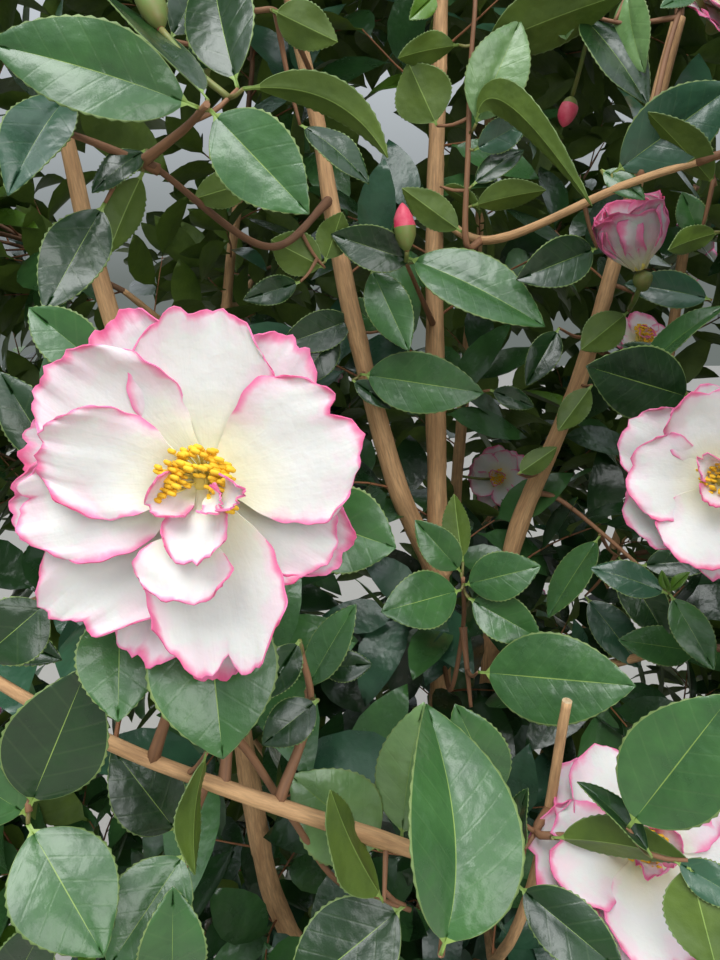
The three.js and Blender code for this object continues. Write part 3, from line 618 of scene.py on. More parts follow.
# Each spray has its twigs as pixels and depth, and its leaves as base, tip, width in pixels, face and
# tone; the pale and bluish tones paint sheen onto the leaves that take them. Some leaves add a point
# that their curve passes through, a way to roll and a fold in degrees.
SPRAYS = {
    "high_left": {
        "twigs": [[(148, 162, 283), (100, 145, 275), (60, 130, 268)]],
        "leaves": [
            ((72, 92, 268), (8, 196, 250), 60, "upper", "bluish_painted_sheen"),
            ((105, 203, 280), (44, 312, 265), 62, "upper", "deep"),
            ((147, 150, 283), (92, 193, 275), 28, "upper", "deep"),
            ((143, 172, 284), (108, 254, 290), 40, "under", "mid"),
            ((190, 200, 310), (256, 180, 300), 38, "under", "mid"),
            ((325, 268, 400), (271, 240, 385), 45, "under", "mid"),
            ((325, 262, 400), (342, 212, 390), 36, "under", "mid"),
            ((300, 282, 390), (243, 300, 380), 30, "upper", "deep"),
        ],
    },
    "shoot_left": {
        "twigs": [[(150, 162, 285), (185, 128, 262), (207, 104, 240)]],
        "leaves": [
            ((199, 108, 245), (-12, 44, 232), 92, "upper", "mid"),
            ((210, 110, 243), (309, 214, 236), 84, "upper", "mid"),
            ((238, 89, 262), (212, -35, 280), 74, "upper", "deep"),
            ((243, 89, 255), (388, 158, 268), 38, "under", "mid", {"through": (330, 100, 261.5)}),
            ((208, 100, 244), (98, -10, 262), 22, "upper", "deep"),
            ((300, 125, 330), (369, 184, 330), 30, "upper", "deep"),
        ],
    },
    "shoot_top": {
        "twigs": [[(318, 90, 450), (285, 20, 330), (250, 10, 280)]],
        "leaves": [
            ((272, 10, 300), (338, 42, 310), 46, "under", "mid"),
            ((231, 42, 285), (182, 70, 275), 28, "upper", "mid"),
            ((170, 40, 300), (202, -20, 310), 40, "upper", "deep"),
        ],
    },
    "upright": {
        "twigs": [[(466, 242, 400), (468, 150, 390), (471, 60, 385), (475, 8, 380), (476, -40, 380)]],
        "leaves": [
            ((478, 50, 380), (628, -8, 360), 60, "under", "mid"),
            ((474, 128, 384), (520, 20, 372), 66, "upper", "pale_painted_sheen"),
            ((476, 124, 380), (592, 206, 345), 34, "under", "mid", {"through": (508, 104, 362.5)}),
            ((437, 126, 395), (408, 62, 385), 60, "under", "mid"),
            ((459, 45, 385), (398, 58, 375), 30, "under", "mid"),
            ((435, -5, 385), (409, 20, 380), 26, "upper", "fresh"),
            ((474, 150, 388), (531, 118, 378), 34, "upper", "bluish_painted_sheen"),
            ((472, 186, 392), (524, 150, 392), 24, "upper", "deep"),
            ((472, 206, 395), (546, 190, 385), 30, "under", "mid"),
            ((462, 232, 400), (402, 188, 392), 36, "under", "mid"),
            ((440, 186, 395), (480, 210, 398), 16, "under", "mid"),
        ],
    },
    "high_right": {
        "twigs": [
            [(640, 180, 360), (665, 60, 360), (690, -20, 360)],
            [(702, 158, 343), (738, 149, 337), (790, 140, 332)],
        ],
        "leaves": [
            ((786, 142, 332), (858, 106, 322), 44, "upper", "mid"),
            ((756, 146, 335), (800, 196, 326), 40, "upper", "deep"),
            ((612, 174, 365), (735, 84, 345), 76, "upper", "bluish_painted_sheen"),
            ((716, 186, 352), (648, 112, 345), 36, "under", "mid"),
            ((601, 170, 368), (645, 200, 360), 24, "upper", "mid"),
            ((597, 248, 385), (516, 280, 380), 52, "upper", "deep"),
            ((700, 236, 365), (682, 192, 360), 30, "upper", "mid"),
            ((720, 232, 362), (668, 250, 358), 26, "under", "mid"),
            ((578, 12, 380), (648, 106, 366), 42, "upper", "deep"),
            ((560, -5, 385), (566, 40, 380), 44, "upper", "pale_painted_sheen"),
            ((628, -12, 372), (645, 73, 366), 38, "upper", "pale_painted_sheen"),
            ((700, -10, 362), (660, 8, 358), 20, "upper", "mid"),
        ],
    },
    "middle": {
        "twigs": [[(437, 330, 470), (418, 290, 425), (404, 258, 400)]],
        "leaves": [
            ((405, 257, 400), (545, 327, 385), 62, "upper", "mid"),
            ((415, 262, 402), (331, 234, 395), 46, "upper", "deep"),
            ((370, 266, 410), (409, 351, 405), 46, "upper", "mid"),
            ((360, 374, 430), (484, 393, 415), 62, "upper", "mid"),
            ((352, 380, 432), (391, 409, 430), 22, "upper", "deep"),
            ((356, 318, 440), (280, 346, 430), 42, "upper", "deep"),
            ((338, 330, 446), (296, 386, 442), 40, "upper", "deep"),
            ((384, 330, 446), (344, 300, 440), 34, "upper", "mid"),
            ((559, 328, 430), (526, 386, 425), 34, "upper", "deep"),
            ((490, 390, 425), (534, 407, 425), 22, "upper", "deep"),
        ],
    },
    "right_middle": {
        "twigs": [[(587, 346, 440), (640, 372, 420), (700, 400, 400)]],
        "leaves": [
            ((692, 398, 395), (586, 366, 370), 76, "upper", "deep"),
            ((642, 372, 418), (726, 306, 400), 26, "upper", "mid"),
            ((712, 300, 430), (624, 284, 440), 38, "upper", "bluish_painted_sheen"),
            ((628, 312, 430), (581, 350, 425), 40, "under", "mid"),
            ((663, 362, 415), (622, 345, 412), 20, "upper", "deep"),
            ((518, 474, 450), (557, 447, 450), 25, "under", "mid"),
            ((592, 385, 440), (558, 431, 440), 30, "under", "mid"),
        ],
    },
    "right_deep": {
        "twigs": [[(560, 500, 480), (610, 540, 450), (668, 592, 410)]],
        "leaves": [
            ((668, 594, 408), (590, 568, 420), 34, "upper", "bluish_painted_sheen"),
            ((670, 594, 408), (714, 670, 392), 38, "upper", "mid"),
            ((669, 592, 408), (690, 572, 402), 12, "upper", "fresh"),
            ((669, 592, 408), (662, 570, 404), 10, "upper", "fresh"),
            ((600, 536, 455), (548, 618, 452), 34, "upper", "mid"),
            ((640, 566, 430), (720, 560, 420), 34, "upper", "deep"),
            ((618, 556, 480), (668, 640, 470), 46, "upper", "deep"),
            ((700, 652, 470), (618, 640, 465), 40, "upper", "mid"),
            ((585, 596, 500), (640, 668, 490), 40, "upper", "bluish_painted_sheen"),
        ],
    },
    "rosette": {
        "twigs": [[(450, 690, 460), (463, 627, 430), (463, 578, 400)], [(463, 627, 430), (471, 707, 420)]],
        "leaves": [
            ((461, 572, 400), (415, 520, 392), 40, "upper", "mid"),
            ((463, 562, 400), (454, 494, 400), 30, "under", "mid"),
            ((464, 585, 400), (541, 566, 385), 50, "upper", "mid"),
            ((461, 590, 400), (381, 612, 380), 60, "upper", "mid"),
            ((468, 598, 402), (542, 640, 390), 50, "upper", "mid"),
            ((472, 600, 402), (484, 572, 398), 14, "upper", "deep"),
            ((478, 672, 390), (636, 686, 350), 92, "upper", "mid"),
        ],
    },
    "front_cluster": {
        "twigs": [
            [(440, 865, 300), (446, 915, 262), (441, 955, 240)],
            [(236, 739, 265), (291, 817, 275), (340, 883, 290), (410, 910, 305)],
        ],
        "leaves": [
            ((440, 955, 228), (426, 704, 269), 122, "upper", "mid",
             {"through": (455, 836, 239), "lean": RIGHT, "fold": 27}),
            ((402, 838, 296), (424, 702, 286), 64, "upper", "pale_painted_sheen"),
            ((500, 800, 304), (455, 704, 298), 62, "upper", "mid"),
            ((380, 850, 295), (290, 775, 285), 90, "upper", "pale_painted_sheen"),
            ((384, 902, 262), (330, 790, 250), 44, "under", "mid"),
            ((405, 905, 272), (290, 1000, 262), 100, "upper", "deep"),
            ((518, 856, 305), (528, 788, 300), 22, "upper", "deep"),
        ],
    },
    "right_low": {
        "twigs": [[(536, 833, 306), (568, 837, 300), (606, 850, 305), (640, 852, 292), (654, 852, 279)]],
        "leaves": [
            ((628, 828, 270), (732, 694, 252), 108, "upper", "mid"),
            ((553, 838, 296), (690, 862, 270), 40, "under", "mid"),
            ((652, 857, 271), (577, 782, 284), 24, "upper", "deep"),
            ((688, 860, 268), (718, 975, 256), 74, "under", "mid"),
            ((674, 860, 270), (748, 904, 262), 40, "upper", "bluish_painted_sheen"),
            ((517, 885, 285), (625, 975, 265), 66, "upper", "deep"),
        ],
    },
    "left_low": {
        "twigs": [
            [(20, 718, 242), (24, 770, 240), (29, 812, 235)],
            [(205, 775, 258), (190, 830, 260), (180, 900, 250), (172, 990, 245)],
        ],
        "leaves": [
            ((29, 808, 236), (88, 666, 228), 104, "upper", "deep"),
            ((28, 824, 235), (104, 957, 222), 104, "upper", "mid"),
            ((28, 815, 236), (-60, 760, 225), 70, "upper", "mid"),
            ((10, 990, 240), (50, 915, 232), 60, "upper", "deep"),
            ((178, 833, 285), (112, 748, 278), 72, "upper", "deep"),
            ((187, 850, 255), (108, 968, 238), 84, "upper", "mid"),
            ((172, 990, 245), (173, 886, 238), 72, "upper", "mid"),
            ((207, 752, 243), (195, 875, 240), 24, "under", "mid"),
        ],
    },
    "bloom_side": {
        "twigs": [
            [(160, 735, 250), (190, 640, 240), (197, 560, 225), (185, 505, 212)],
            [(190, 640, 240), (120, 560, 236), (80, 480, 236), (110, 385, 242)],
            [(197, 560, 226), (260, 530, 232), (300, 515, 233)],
            [(270, 800, 262), (310, 710, 270), (300, 645, 265)],
        ],
        "leaves": [
            ((120, 600, 228), (118, 722, 215), 84, "upper", "mid"),
            ((205, 590, 225), (223, 759, 210), 132, "upper", "mid"),
            ((110, 375, 240), (29, 308, 236), 60, "upper", "mid"),
            ((60, 470, 238), (0, 372, 232), 55, "upper", "deep"),
            ((50, 600, 240), (-20, 660, 236), 70, "upper", "deep"),
            ((300, 515, 232), (396, 548, 228), 92, "upper", "mid"),
            ((300, 640, 262), (262, 700, 256), 40, "upper", "deep"),
            ((318, 700, 265), (262, 745, 258), 46, "upper", "deep"),
            ((306, 690, 330), (356, 604, 330), 40, "upper", "mid"),
            ((318, 668, 345), (372, 664, 345), 34, "upper", "deep"),
            ((-20, 628, 262), (62, 660, 258), 46, "upper", "deep"),
        ],
    },
}


def shell(grid, thickness, columns, finish_of):
    """A closed shell round a grid of points: its upper face, its underside and its rim."""
    rows, count = grid.shape[:2]
    normals = np.cross(np.gradient(grid, axis=1), np.gradient(grid, axis=0))
    normals /= np.linalg.norm(normals, axis=2, keepdims=True) + 1e-9
    half = normals * thickness / 2
    points = np.concatenate([(grid + half).reshape(-1, 3), (grid - half).reshape(-1, 3)])
    below = rows * count
    faces, finishes, flat = [], [], set()
    for r in range(rows - 1):
        for c in range(count - 1):
            spot = (columns[c] + columns[c + 1]) / 2
            a = r * count + c
            faces.append((a, a + 1, a + count + 1, a + count))
            faces.append((below + a, below + a + count, below + a + count + 1, below + a + 1))
            finishes += [finish_of(r, spot, True), finish_of(r, spot, False)]
    border = [r * count for r in range(rows)]
    border += [(rows - 1) * count + c for c in range(1, count)]
    border += [r * count + count - 1 for r in range(rows - 2, -1, -1)]
    border += list(range(count - 2, 0, -1))
    for a, b in zip(border, border[1:] + border[:1]):
        flat.add(len(faces))
        faces.append((b, below + b, below + a, a))
        finishes.append(finish_of(0, 1.0, True))
    return {"points": points, "faces": faces, "finishes": finishes, "flat": flat}


def leaf_outline(shares, width):
    """Half of a leaf's width along it: its stalk, then a blade that is broadest before its middle."""
    blade = np.clip((shares - SHAPE["stalk"]) / (1 - SHAPE["stalk"]), 0, 1)
    half = width / 2 * blade ** OUTLINE["rise"] * (1 - blade) ** OUTLINE["fall"] / OUTLINE["peak"]
    return np.maximum(half, OUTLINE["stalk"] - OUTLINE["thinning"] * shares)


def near_leaf_part(spine, face, width, seed, tone, fold, curl, wave):
    """A leaf of the front along its spine, folded at the midrib, with a toothed edge."""
    shares = np.linspace(0, 1, NEAR_ROWS)
    half = leaf_outline(shares, width)
    teeth = np.where(np.arange(NEAR_ROWS) % 2, SHAPE["tooth"], -SHAPE["tooth"])
    first, last = SHAPE["toothed"]
    teeth = np.where((shares > first) & (shares < last), teeth, 0)
    grid = np.zeros((NEAR_ROWS, len(NEAR_COLUMNS), 3))
    for r, middle in enumerate(spine):
        along = (spine[min(r + 1, NEAR_ROWS - 1)] - spine[max(r - 1, 0)]).normalized()
        side = along.cross(face).normalized()
        top = side.cross(along)
        for k, c in enumerate(NEAR_COLUMNS):
            out = half[r] + (teeth[r] if abs(c) == 1 else 0)
            lift = abs(c) * half[r] * math.sin(fold) - curl * half[r] * c * c
            ripple = math.sin(RIPPLE["pace"] * shares[r] + seed + (RIPPLE["shift"] if c > 0 else 0))
            lift += wave * abs(c) ** 2 * ripple * half[r] / (width / 2)
            groove = MIDRIB["groove"] * math.exp(-((c / MIDRIB["half"]) ** 2))
            lift -= groove * min(1, half[r] / MIDRIB["broad"])
            grid[r, k] = middle + side * (c * out * math.cos(fold)) + top * lift

    def finish_of(row, place, upper):
        if abs(place) > SHAPE["edge_from"]:
            return EDGE
        if abs(place) < SHAPE["rib_to"] or shares[row] < SHAPE["stalk"]:
            return RIB
        return TONE_NAMES.index(tone) if upper else UNDER

    part = shell(grid, SHAPE["thickness"], NEAR_COLUMNS, finish_of)
    length = sum((b - a).length for a, b in zip(spine, spine[1:]))
    across = np.outer(half, NEAR_COLUMNS)
    along_mm = np.outer(shares * length, np.ones(len(NEAR_COLUMNS)))
    blade = np.stack([across, along_mm, np.full_like(across, seed)], axis=2).reshape(-1, 3)
    part["blade"] = np.concatenate([blade, blade])
    return part


def leaf_spine(base, middle, tip):
    """A curve from a leaf's base through its middle to its tip."""
    handle = middle * 2 - (base + tip) / 2
    spine = []
    for k in range(NEAR_ROWS):
        t = k / (NEAR_ROWS - 1)
        spine.append(base * (1 - t) ** 2 + handle * 2 * t * (1 - t) + tip * t * t)
    return spine


def sample_path(path, radii, step, found):
    """Adds points along a path, with their radii, to what hangs leaves and keeps twigs clear."""
    for a, b, first, last in zip(path, path[1:], radii, radii[1:]):
        count = max(1, round((b - a).length / step))
        for k in range(count):
            found.append((a.lerp(b, k / count), first + (last - first) * k / count))


limb_samples = []
for limb in limbs.values():
    limb_path = path_along(limb["points"], LIMB_SAMPLES)
    sample_path(limb_path, tapered(limb["radii"], len(limb_path)), LIMB_SAMPLES, limb_samples)
wood_samples = list(limb_samples)
wood_parts = []


def nearest_wood(point):
    return min(wood_samples, key=lambda sample: (sample[0] - point).length)[0]


def varied(quality, number):
    """A leaf's own value of a quality, which swings round its mean from leaf to leaf."""
    mean, swing, pace = VARIED[quality]
    return mean + swing * math.sin(number * pace)


def lay_spray_twig(pixels):
    """A twig through some places of the picture, from the nearest wood."""
    route = [seen(*spot) for spot in pixels]
    root = nearest_wood(route[0])
    gap = (root - route[0]).length
    if gap > SPRAY_TWIG["touching"]:
        route = [root, *route] if gap > SPRAY_TWIG["bridged"] else [root, *route[1:]]
    path = path_along(route, SPRAY_TWIG["step"])
    radii = tapered(SPRAY_TWIG["radii"], len(path))
    relief = bark_relief(len(wood_parts) * SEED_STEPS["twig"])
    wood_parts.append(lay_tube(path, radii, SPRAY_TWIG["sides"], relief))
    sample_path(path, radii, SPRAY_TWIG["step"], wood_samples)


def lay_leaf(number, base_pixel, tip_pixel, width_pixels, face_shown, tone, own=None):
    """A leaf that shows at its place in the picture, on a stalk or a short twig."""
    own = own or {}
    base, tip = seen(*base_pixel), seen(*tip_pixel)
    length = (tip - base).length
    middle = base.lerp(tip, 0.5)
    along = (tip - base).normalized()
    to_eye = (EYE - middle).normalized()
    face = (to_eye - along * to_eye.dot(along)).normalized()
    if face_shown == "under":
        face.negate()
    shown_width = width_pixels * (base_pixel[2] + tip_pixel[2]) / 2 / FOCAL
    width = shown_width * ROLLED if own else max(shown_width, SHAPE["ratio"] * length)
    tilt = math.acos(min(1, shown_width / width))
    rolled = [Quaternion(along, sign * tilt) @ face for sign in (1, -1)]
    face = max(rolled, key=lambda way: way.dot(own.get("lean", LIGHT_WAY)))
    bowed = middle + face * length * varied("bow", number)
    spine = leaf_spine(base, seen(*own["through"]) if own else bowed, tip)
    fold = math.radians(own.get("fold", varied("fold", number)))
    leaf_parts.append(near_leaf_part(
        spine, face, width, number * SEED_STEPS["leaf"], tone, fold,
        varied("curl", number), varied("wave", number)))

    root = nearest_wood(base)
    gap = (base - root).length
    if gap > LEAF_STALK["touching"]:
        sag = base.lerp(root, 0.5) - UP * gap * LEAF_STALK["sag"]
        path = path_along([root, sag, base], LEAF_STALK["step"])
        thickness = min(LEAF_STALK["most"], LEAF_STALK["foot"] + gap / LEAF_STALK["gap_for_more"])
        radii = tapered((thickness, LEAF_STALK["tip"]), len(path))
        stalk = lay_tube(path, radii, LEAF_STALK["sides"])
        if gap < LEAF_STALK["green"]:
            stalk["finishes"] = [TWIG_FINISHES.index(STALK_GREEN)] * len(stalk["faces"])
        wood_parts.append(stalk)
        sample_path(path, radii, SPRAY_TWIG["step"], wood_samples)


leaf_parts = []
for spray in SPRAYS.values():
    for pixels in spray["twigs"]:
        lay_spray_twig(pixels)
leaf_rows = [row for spray in SPRAYS.values() for row in spray["leaves"]]
for number, row in enumerate(leaf_rows):
    lay_leaf(number + 1, *row)
near_cells = [part["points"] for part in leaf_parts]
make_piece("front_leaves", leaf_parts, NEAR_FINISHES, FRONT_MASSES)
make_piece("front_twigs", wood_parts, TWIG_FINISHES, FRONT_MASSES)

# Blooms
# Wide open blooms: thin ruffled petals, white with a cream heart and a pink edge, round a tuft of
# golden stamens. A green calyx holds them on their stalk. The largest one is laid petal by petal.
FRONT_BLOOMS = {
    "largest": {"middle": (-97, -430, 834), "facing": (-0.06, -0.99, 0.12), "across": 96},
    "right": {"middle": (110, -300, 812), "facing": (-0.42, -0.88, 0.2), "across": 92},
    "low": {"middle": seen(642, 850, 308), "facing": (0.04, -0.72, 0.69), "across": 94, "blush": 0.7},
    "half_open": {"middle": seen(639, 264, 398), "facing": (-0.35, -0.2, 0.92), "across": 78,
                  "openness": 0.14, "blush": 0.5},
    "corner": {"middle": (140, -196, 1040), "facing": (0.3, -0.7, 0.6), "across": 74, "blush": 0.3},
    "deep": {"middle": seen(500, 477, 790), "facing": (-0.5, -0.85, 0.1), "across": 72},
    "far_right": {"middle": seen(640, 340, 600), "facing": (0.2, -0.7, 0.7), "across": 62, "blush": 0.5},
}
FINE_GRID, FRONT_GRID, SMALL_GRID = (34, 36), (20, 18), (14, 13)  # rows and columns of a petal
FINE_BLOOMS = ("right", "low")  # these take the front grid, and the smaller ones the small grid
LARGEST_HEART = (203, 482)
LARGEST_PETALS = [  # turn, length, width, notch place and depth, layer, tilt, ruffle
    (-89, 57, 25, 0.1, 0.05, 6.5, 0.02, 0.8),
    (-112, 55, 30, 0.0, 0.05, 6.0, 0.02, 0.9),
    (-170, 57, 31, 0.35, 0.06, 6.0, 0.02, 0.9),
    (170, 53, 30, 0.0, 0.06, 5.8, 0.02, 0.9),
    (121, 51, 31, -0.2, 0.05, 5.8, 0.02, 0.9),
    (57, 45, 30, 0.1, 0.06, 5.2, 0.02, 0.9),
    (-27, 43, 28, 0.0, 0.04, 5.2, 0.02, 0.9),
    (-138, 57, 36, -0.4, 0.1, 4.2, 0.05, 1.7),
    (91, 46, 39, -0.06, 0.08, 3.4, 0.08, 1.2),
    (145, 51, 37, 0.35, 0.07, 3.0, 0.08, 1.8),
    (-31, 39, 33, 0.5, 0.03, 4.2, 0.04, 0.9),
    (-82, 52, 37, 0.0, 0.11, 1.2, 0.08, 1.3),
    (20, 44, 40, -0.3, 0.12, 1.8, 0.09, 1.4),
    (-169, 50, 31, 0.3, 0.06, 1.6, 0.1, 1.7),
    (168, 43, 29, 0.1, 0.06, 0.4, 0.17, 2.3),
]
LARGEST_PETALOIDS = [  # turn, length, width, start, tilt, side cup, ruffle
    (-97, 32, 25, 12, 0.32, 0.12, 2.2),
    (-88, 24, 17, 1, 0.58, 0.1, 1.3),
    (207, 16, 12, 2, 0.62, 0.5, 1.3),
    (-8, 21, 9, 9, 0.75, 0.6, 1.4),
    (-30, 18, 8, 7, 0.9, 0.6, 1.2),
]
LAYER_STEP = 1.45  # millimetres for each layer of the largest bloom
BACK_LAYER = 5
BLUSHES = {"back": 0.6, "front": 1.15, "petaloid": 1.7}  # the lower, the broader a petal's pink margin
RINGS = [  # petals, their length and width as shares of the bloom, depth, tilt, start, side cup
    (6, 0.51, 0.46, 3.6, 0.06, 2, 0.08),
    (5, 0.46, 0.42, 1.2, 0.2, 2, 0.08),
    (3, 0.2, 0.16, -1.0, 0.8, 4, 0.38),
]
CLOSED = {"tilt": 1.15, "side_cup": 0.2}  # what a closed bloom adds to its petals
# Waves over a petal, each with its height, its pace and its share of the petal's seed.
RIM_WAVES = ((0.015, 7, 1), (0.011, 17, 2.1), (0.006, 31, 1.3))
FOLD_WAVES = ((0.65, 3.4, 1), (0.4, 7, 1.9))
CRINKLE_WAVES = ((0.42, 15, 2.7), (0.32, 27, 1))
PETAL_THICKNESS = 0.45
BANDS = {"edge": 1.5, "blush": 3.4, "heart": 0.3}  # of petals that take plain bands of colour
BLOOM_SEEDS = {"front": 20, "largest_stamens": 7, "outer": 60}
# Stamens of one bloom: how many, how far they spread, and the turns between which they stand.
STAMENS = {"largest": (150, 0.95, -45, 205), "open": (90, 0.75, 0, 360), "half_open": (16, 0.105, 0, 360)}
CALYX_RINGS = ((13, 1.6), (11, 3.2), (8.5, 4.6), (6, 5.2), (4, 4.6), (2.5, 2.5))  # place, radius
BOSS_RINGS = ((-3, 2.6), (-1, 3.4), (0.5, 3.4), (2, 2.6), (3, 1.2))
BLOOM_STALK = {"share": 0.6, "sag": 3, "step": 5, "radius": 1.5}
WHITE, CREAM = colour(222, 220, 215), colour(230, 222, 175)
PINK, ROSE, BLUSH = colour(236, 112, 164), colour(222, 66, 126), colour(240, 176, 206)
MARGIN = {  # widths in millimetres by the pattern, and how much broader they grow towards the rim
    "pattern": 95.0, "drift": (0.36, 0.66), "width": (0.55, 4.3), "outwards": (0.42, 1.25),
    "strength": 0.92, "wash_reach": 4.5, "wash_strength": 0.38, "rose_from": (2.0, 5.0),
}
HEART = {"reach": (0.05, 0.55), "strength": 0.8}


def petal_finish():
    """Soft petal: pink by the distance from its edge, cream by the share from its foot."""
    made, tree, shader = new_finish("petal")
    axes = add_node(tree, "ShaderNodeSeparateXYZ", {
        "Vector": add_node(tree, "ShaderNodeAttribute", attribute_name="petal").outputs["Vector"]}).outputs
    from_edge, from_foot, across = axes["X"], axes["Y"], axes["Z"]
    place = add_node(tree, "ShaderNodeTexCoord").outputs["Object"]

    drift = map_range(
        tree, add_noise(tree, place, MARGIN["pattern"], 4.0), MARGIN["drift"], MARGIN["width"])
    outwards = map_range(tree, calculate(tree, "POWER", from_foot, 2.0), target=MARGIN["outwards"])
    reach = calculate(tree, "MULTIPLY", drift, outwards)
    edge = map_range(tree, calculate(tree, "DIVIDE", from_edge, reach),
                     target=(MARGIN["strength"], 0.0), smooth=True)
    far = calculate(tree, "MULTIPLY", reach, MARGIN["wash_reach"])
    wash = map_range(tree, calculate(tree, "DIVIDE", from_edge, far),
                     target=(MARGIN["wash_strength"], 0.0), smooth=True)
    heart = map_range(tree, from_foot, HEART["reach"], (HEART["strength"], 0.0))
    washed = mix(tree, wash, mix(tree, heart, WHITE, CREAM), BLUSH)
    deepened = mix(tree, map_range(tree, reach, MARGIN["rose_from"]), PINK, ROSE)
    tree.links.new(mix(tree, edge, washed, deepened), shader.inputs["Base Color"])

    fan = add_node(tree, "ShaderNodeCombineXYZ", {"X": across, "Y": from_foot}).outputs["Vector"]
    veins = add_node(tree, "ShaderNodeMapping", {"Vector": fan, "Scale": (16, 1.5, 1)}).outputs["Vector"]
    emboss(tree, shader, (add_noise(tree, place, 210.0, 3.0), 0.45, 0.0009),
           (add_noise(tree, veins, 1.0, 3.0), 0.16, 0.0005))
    shader.inputs["Roughness"].default_value = 0.5
    shader.inputs["Subsurface Weight"].default_value = 0.12
    shader.inputs["Subsurface Scale"].default_value = 0.002
    return made


def soft_finish(name, base, tint, roughness=0.5):
    """A soft surface in one colour that drifts a little."""
    made, tree, shader = new_finish(name)
    place = add_node(tree, "ShaderNodeTexCoord").outputs["Object"]
    patches = add_mottle(tree, place, base, tint, 180.0, 0.6)
    tree.links.new(patches["Colour"], shader.inputs["Base Color"])
    shader.inputs["Roughness"].default_value = roughness
    emboss(tree, shader, (patches["Grain"], 0.4, 0.0003))
    return made


PETAL = petal_finish()
PLAIN_PETAL = soft_finish("petal_white", WHITE, colour(240, 234, 224))
PETAL_EDGE = soft_finish("petal_edge", PINK, colour(240, 140, 180))
PETAL_BLUSH = soft_finish("petal_blush", BLUSH, WHITE)
PETAL_HEART = soft_finish("petal_heart", CREAM, WHITE)
BAND_FINISHES = [PLAIN_PETAL, PETAL_EDGE, PETAL_BLUSH, PETAL_HEART]
ANTHER = soft_finish("anther", colour(248, 202, 44), colour(226, 166, 24), 0.7)
FILAMENT = soft_finish("filament", colour(240, 226, 130), colour(232, 208, 92), 0.6)
CALYX = soft_finish("calyx", colour(112, 136, 66), colour(138, 116, 70), 0.5)


def waves(place, seed, terms):
    return sum(height * np.sin(pace * place + shift * seed) for height, pace, shift in terms)


def round_facing(facing, turn):
    """The way square to a bloom's facing at a turn in degrees."""
    side = UP.cross(facing).normalized()
    return side * math.cos(math.radians(turn)) + facing.cross(side) * math.sin(math.radians(turn))


def petal_part(place, facing, turn, length, width, start=3, tilt=0.1, side_cup=0.08, ruffle=1.5,
               notch=(0, 0.08), seed=0.0, grid=FINE_GRID, banded=False, blush=1.0):
    """One petal, a fan from its foot to a rounded, notched and ruffled rim."""
    shares = 1 - (1 - np.linspace(0, 1, grid[0])[:, None]) ** 1.5
    across = np.sin(np.linspace(-1, 1, grid[1])[None, :] * math.pi / 2)
    sides = np.sign(across)
    dip = notch[1] * np.exp(-np.abs((across - notch[0]) / 0.13) ** 1.4)
    reach = 1 - 0.3 * np.abs(across) ** 2.6 - dip + waves(across, seed, RIM_WAVES) * width / 36
    breadth = 0.2 + 0.8 * np.sin(math.pi / 2 * np.clip(shares / 0.76, 0, 1)) ** 1.15
    breadth = breadth * (1 - 0.1 * np.clip((shares - 0.76) / 0.24, 0, 1) ** 2)
    scallops = 0.028 * np.sin(13 * shares + seed + 2 * sides)
    breadth = breadth * (1 + scallops + 0.014 * np.sin(31 * shares + 1.7 * seed + sides))
    x = width / 2 * across * breadth
    y = start + (length - start) * shares * reach
    folds, crinkle = waves(across, seed, FOLD_WAVES), waves(across, seed, CRINKLE_WAVES)
    z = 0.04 * length * shares**2 + side_cup * width * across**2 * shares
    z = z + ruffle * (folds * shares**2.5 + crinkle * shares**8)
    z = z + ruffle * 0.6 * np.abs(across) ** 3 * np.sin(9 * shares + 1.3 * seed + sides)
    z = z + 0.35 * ruffle * np.sin(11 * shares + seed) * np.sin(2.6 * across + 0.7 * seed) * shares
    from_side = (1 - np.abs(across)) * width / 2 * breadth + 30 * np.clip(0.4 - shares, 0, 1)
    edge = np.minimum((1 - shares) * (length - start) * reach, from_side) * blush

    out = round_facing(facing, turn)
    y_axis = out * math.cos(tilt) + facing * math.sin(tilt)
    z_axis = facing * math.cos(tilt) - out * math.sin(tilt)
    ways = ((x, y_axis.cross(z_axis)), (y, y_axis), (z, z_axis))
    points = sum(value[..., None] * np.array(axis) for value, axis in ways) + np.array(place)

    def finish_of(row, spot, upper):
        if not banded:
            return 0
        column = min(range(grid[1] - 1), key=lambda c: abs((across[0, c] + across[0, c + 1]) / 2 - spot))
        near = edge[row:row + 2, column:column + 2].mean() if abs(spot) < 1 else 0
        if near < BANDS["edge"]:
            return BAND_FINISHES.index(PETAL_EDGE)
        if near < BANDS["blush"]:
            return BAND_FINISHES.index(PETAL_BLUSH)
        return BAND_FINISHES.index(PETAL_HEART if shares[row, 0] < BANDS["heart"] else PLAIN_PETAL)

    part = shell(points, PETAL_THICKNESS, across[0], finish_of)
    values = np.stack([edge, shares + 0 * across, across + 0 * shares], axis=2).reshape(-1, 3)
    part["petal"] = np.concatenate([values, values])
    return part


def bloom_parts(place, facing, across, seed, grid, banded=False, openness=1.0, blush=1.0):
    """An open bloom: two rings of petals, and a few small curled ones among the stamens."""
    draw = np.random.default_rng(seed)
    parts = []
    for count, reach, spread, layer, tilt, start, side_cup in RINGS:
        shift = draw.uniform(0, 360)
        for k in range(count):
            parts.append(petal_part(
                place - facing * (layer + 0.7 * (k % 2)), facing,
                turn=shift + 360 * k / count + draw.uniform(-10, 10),
                length=across * reach * draw.uniform(0.92, 1.06),
                width=across * spread * draw.uniform(0.88, 1.08),
                start=start,
                tilt=tilt + (1 - openness) * CLOSED["tilt"],
                side_cup=side_cup + CLOSED["side_cup"] * (1 - openness),
                ruffle=draw.uniform(1.2, 2.4) * across / 92,
                notch=(draw.uniform(-0.4, 0.4), draw.uniform(0.04, 0.12)),
                seed=draw.uniform(0, 20), grid=grid, banded=banded, blush=blush))
    return parts


def ringed_part(place, facing, rings, sides, swell=None):
    """A round form along a bloom's facing, by the place and the radius of each of its rings."""
    return lay_tube([place + facing * rise for rise, _ in rings], [radius for _, radius in rings],
                    sides, swell)


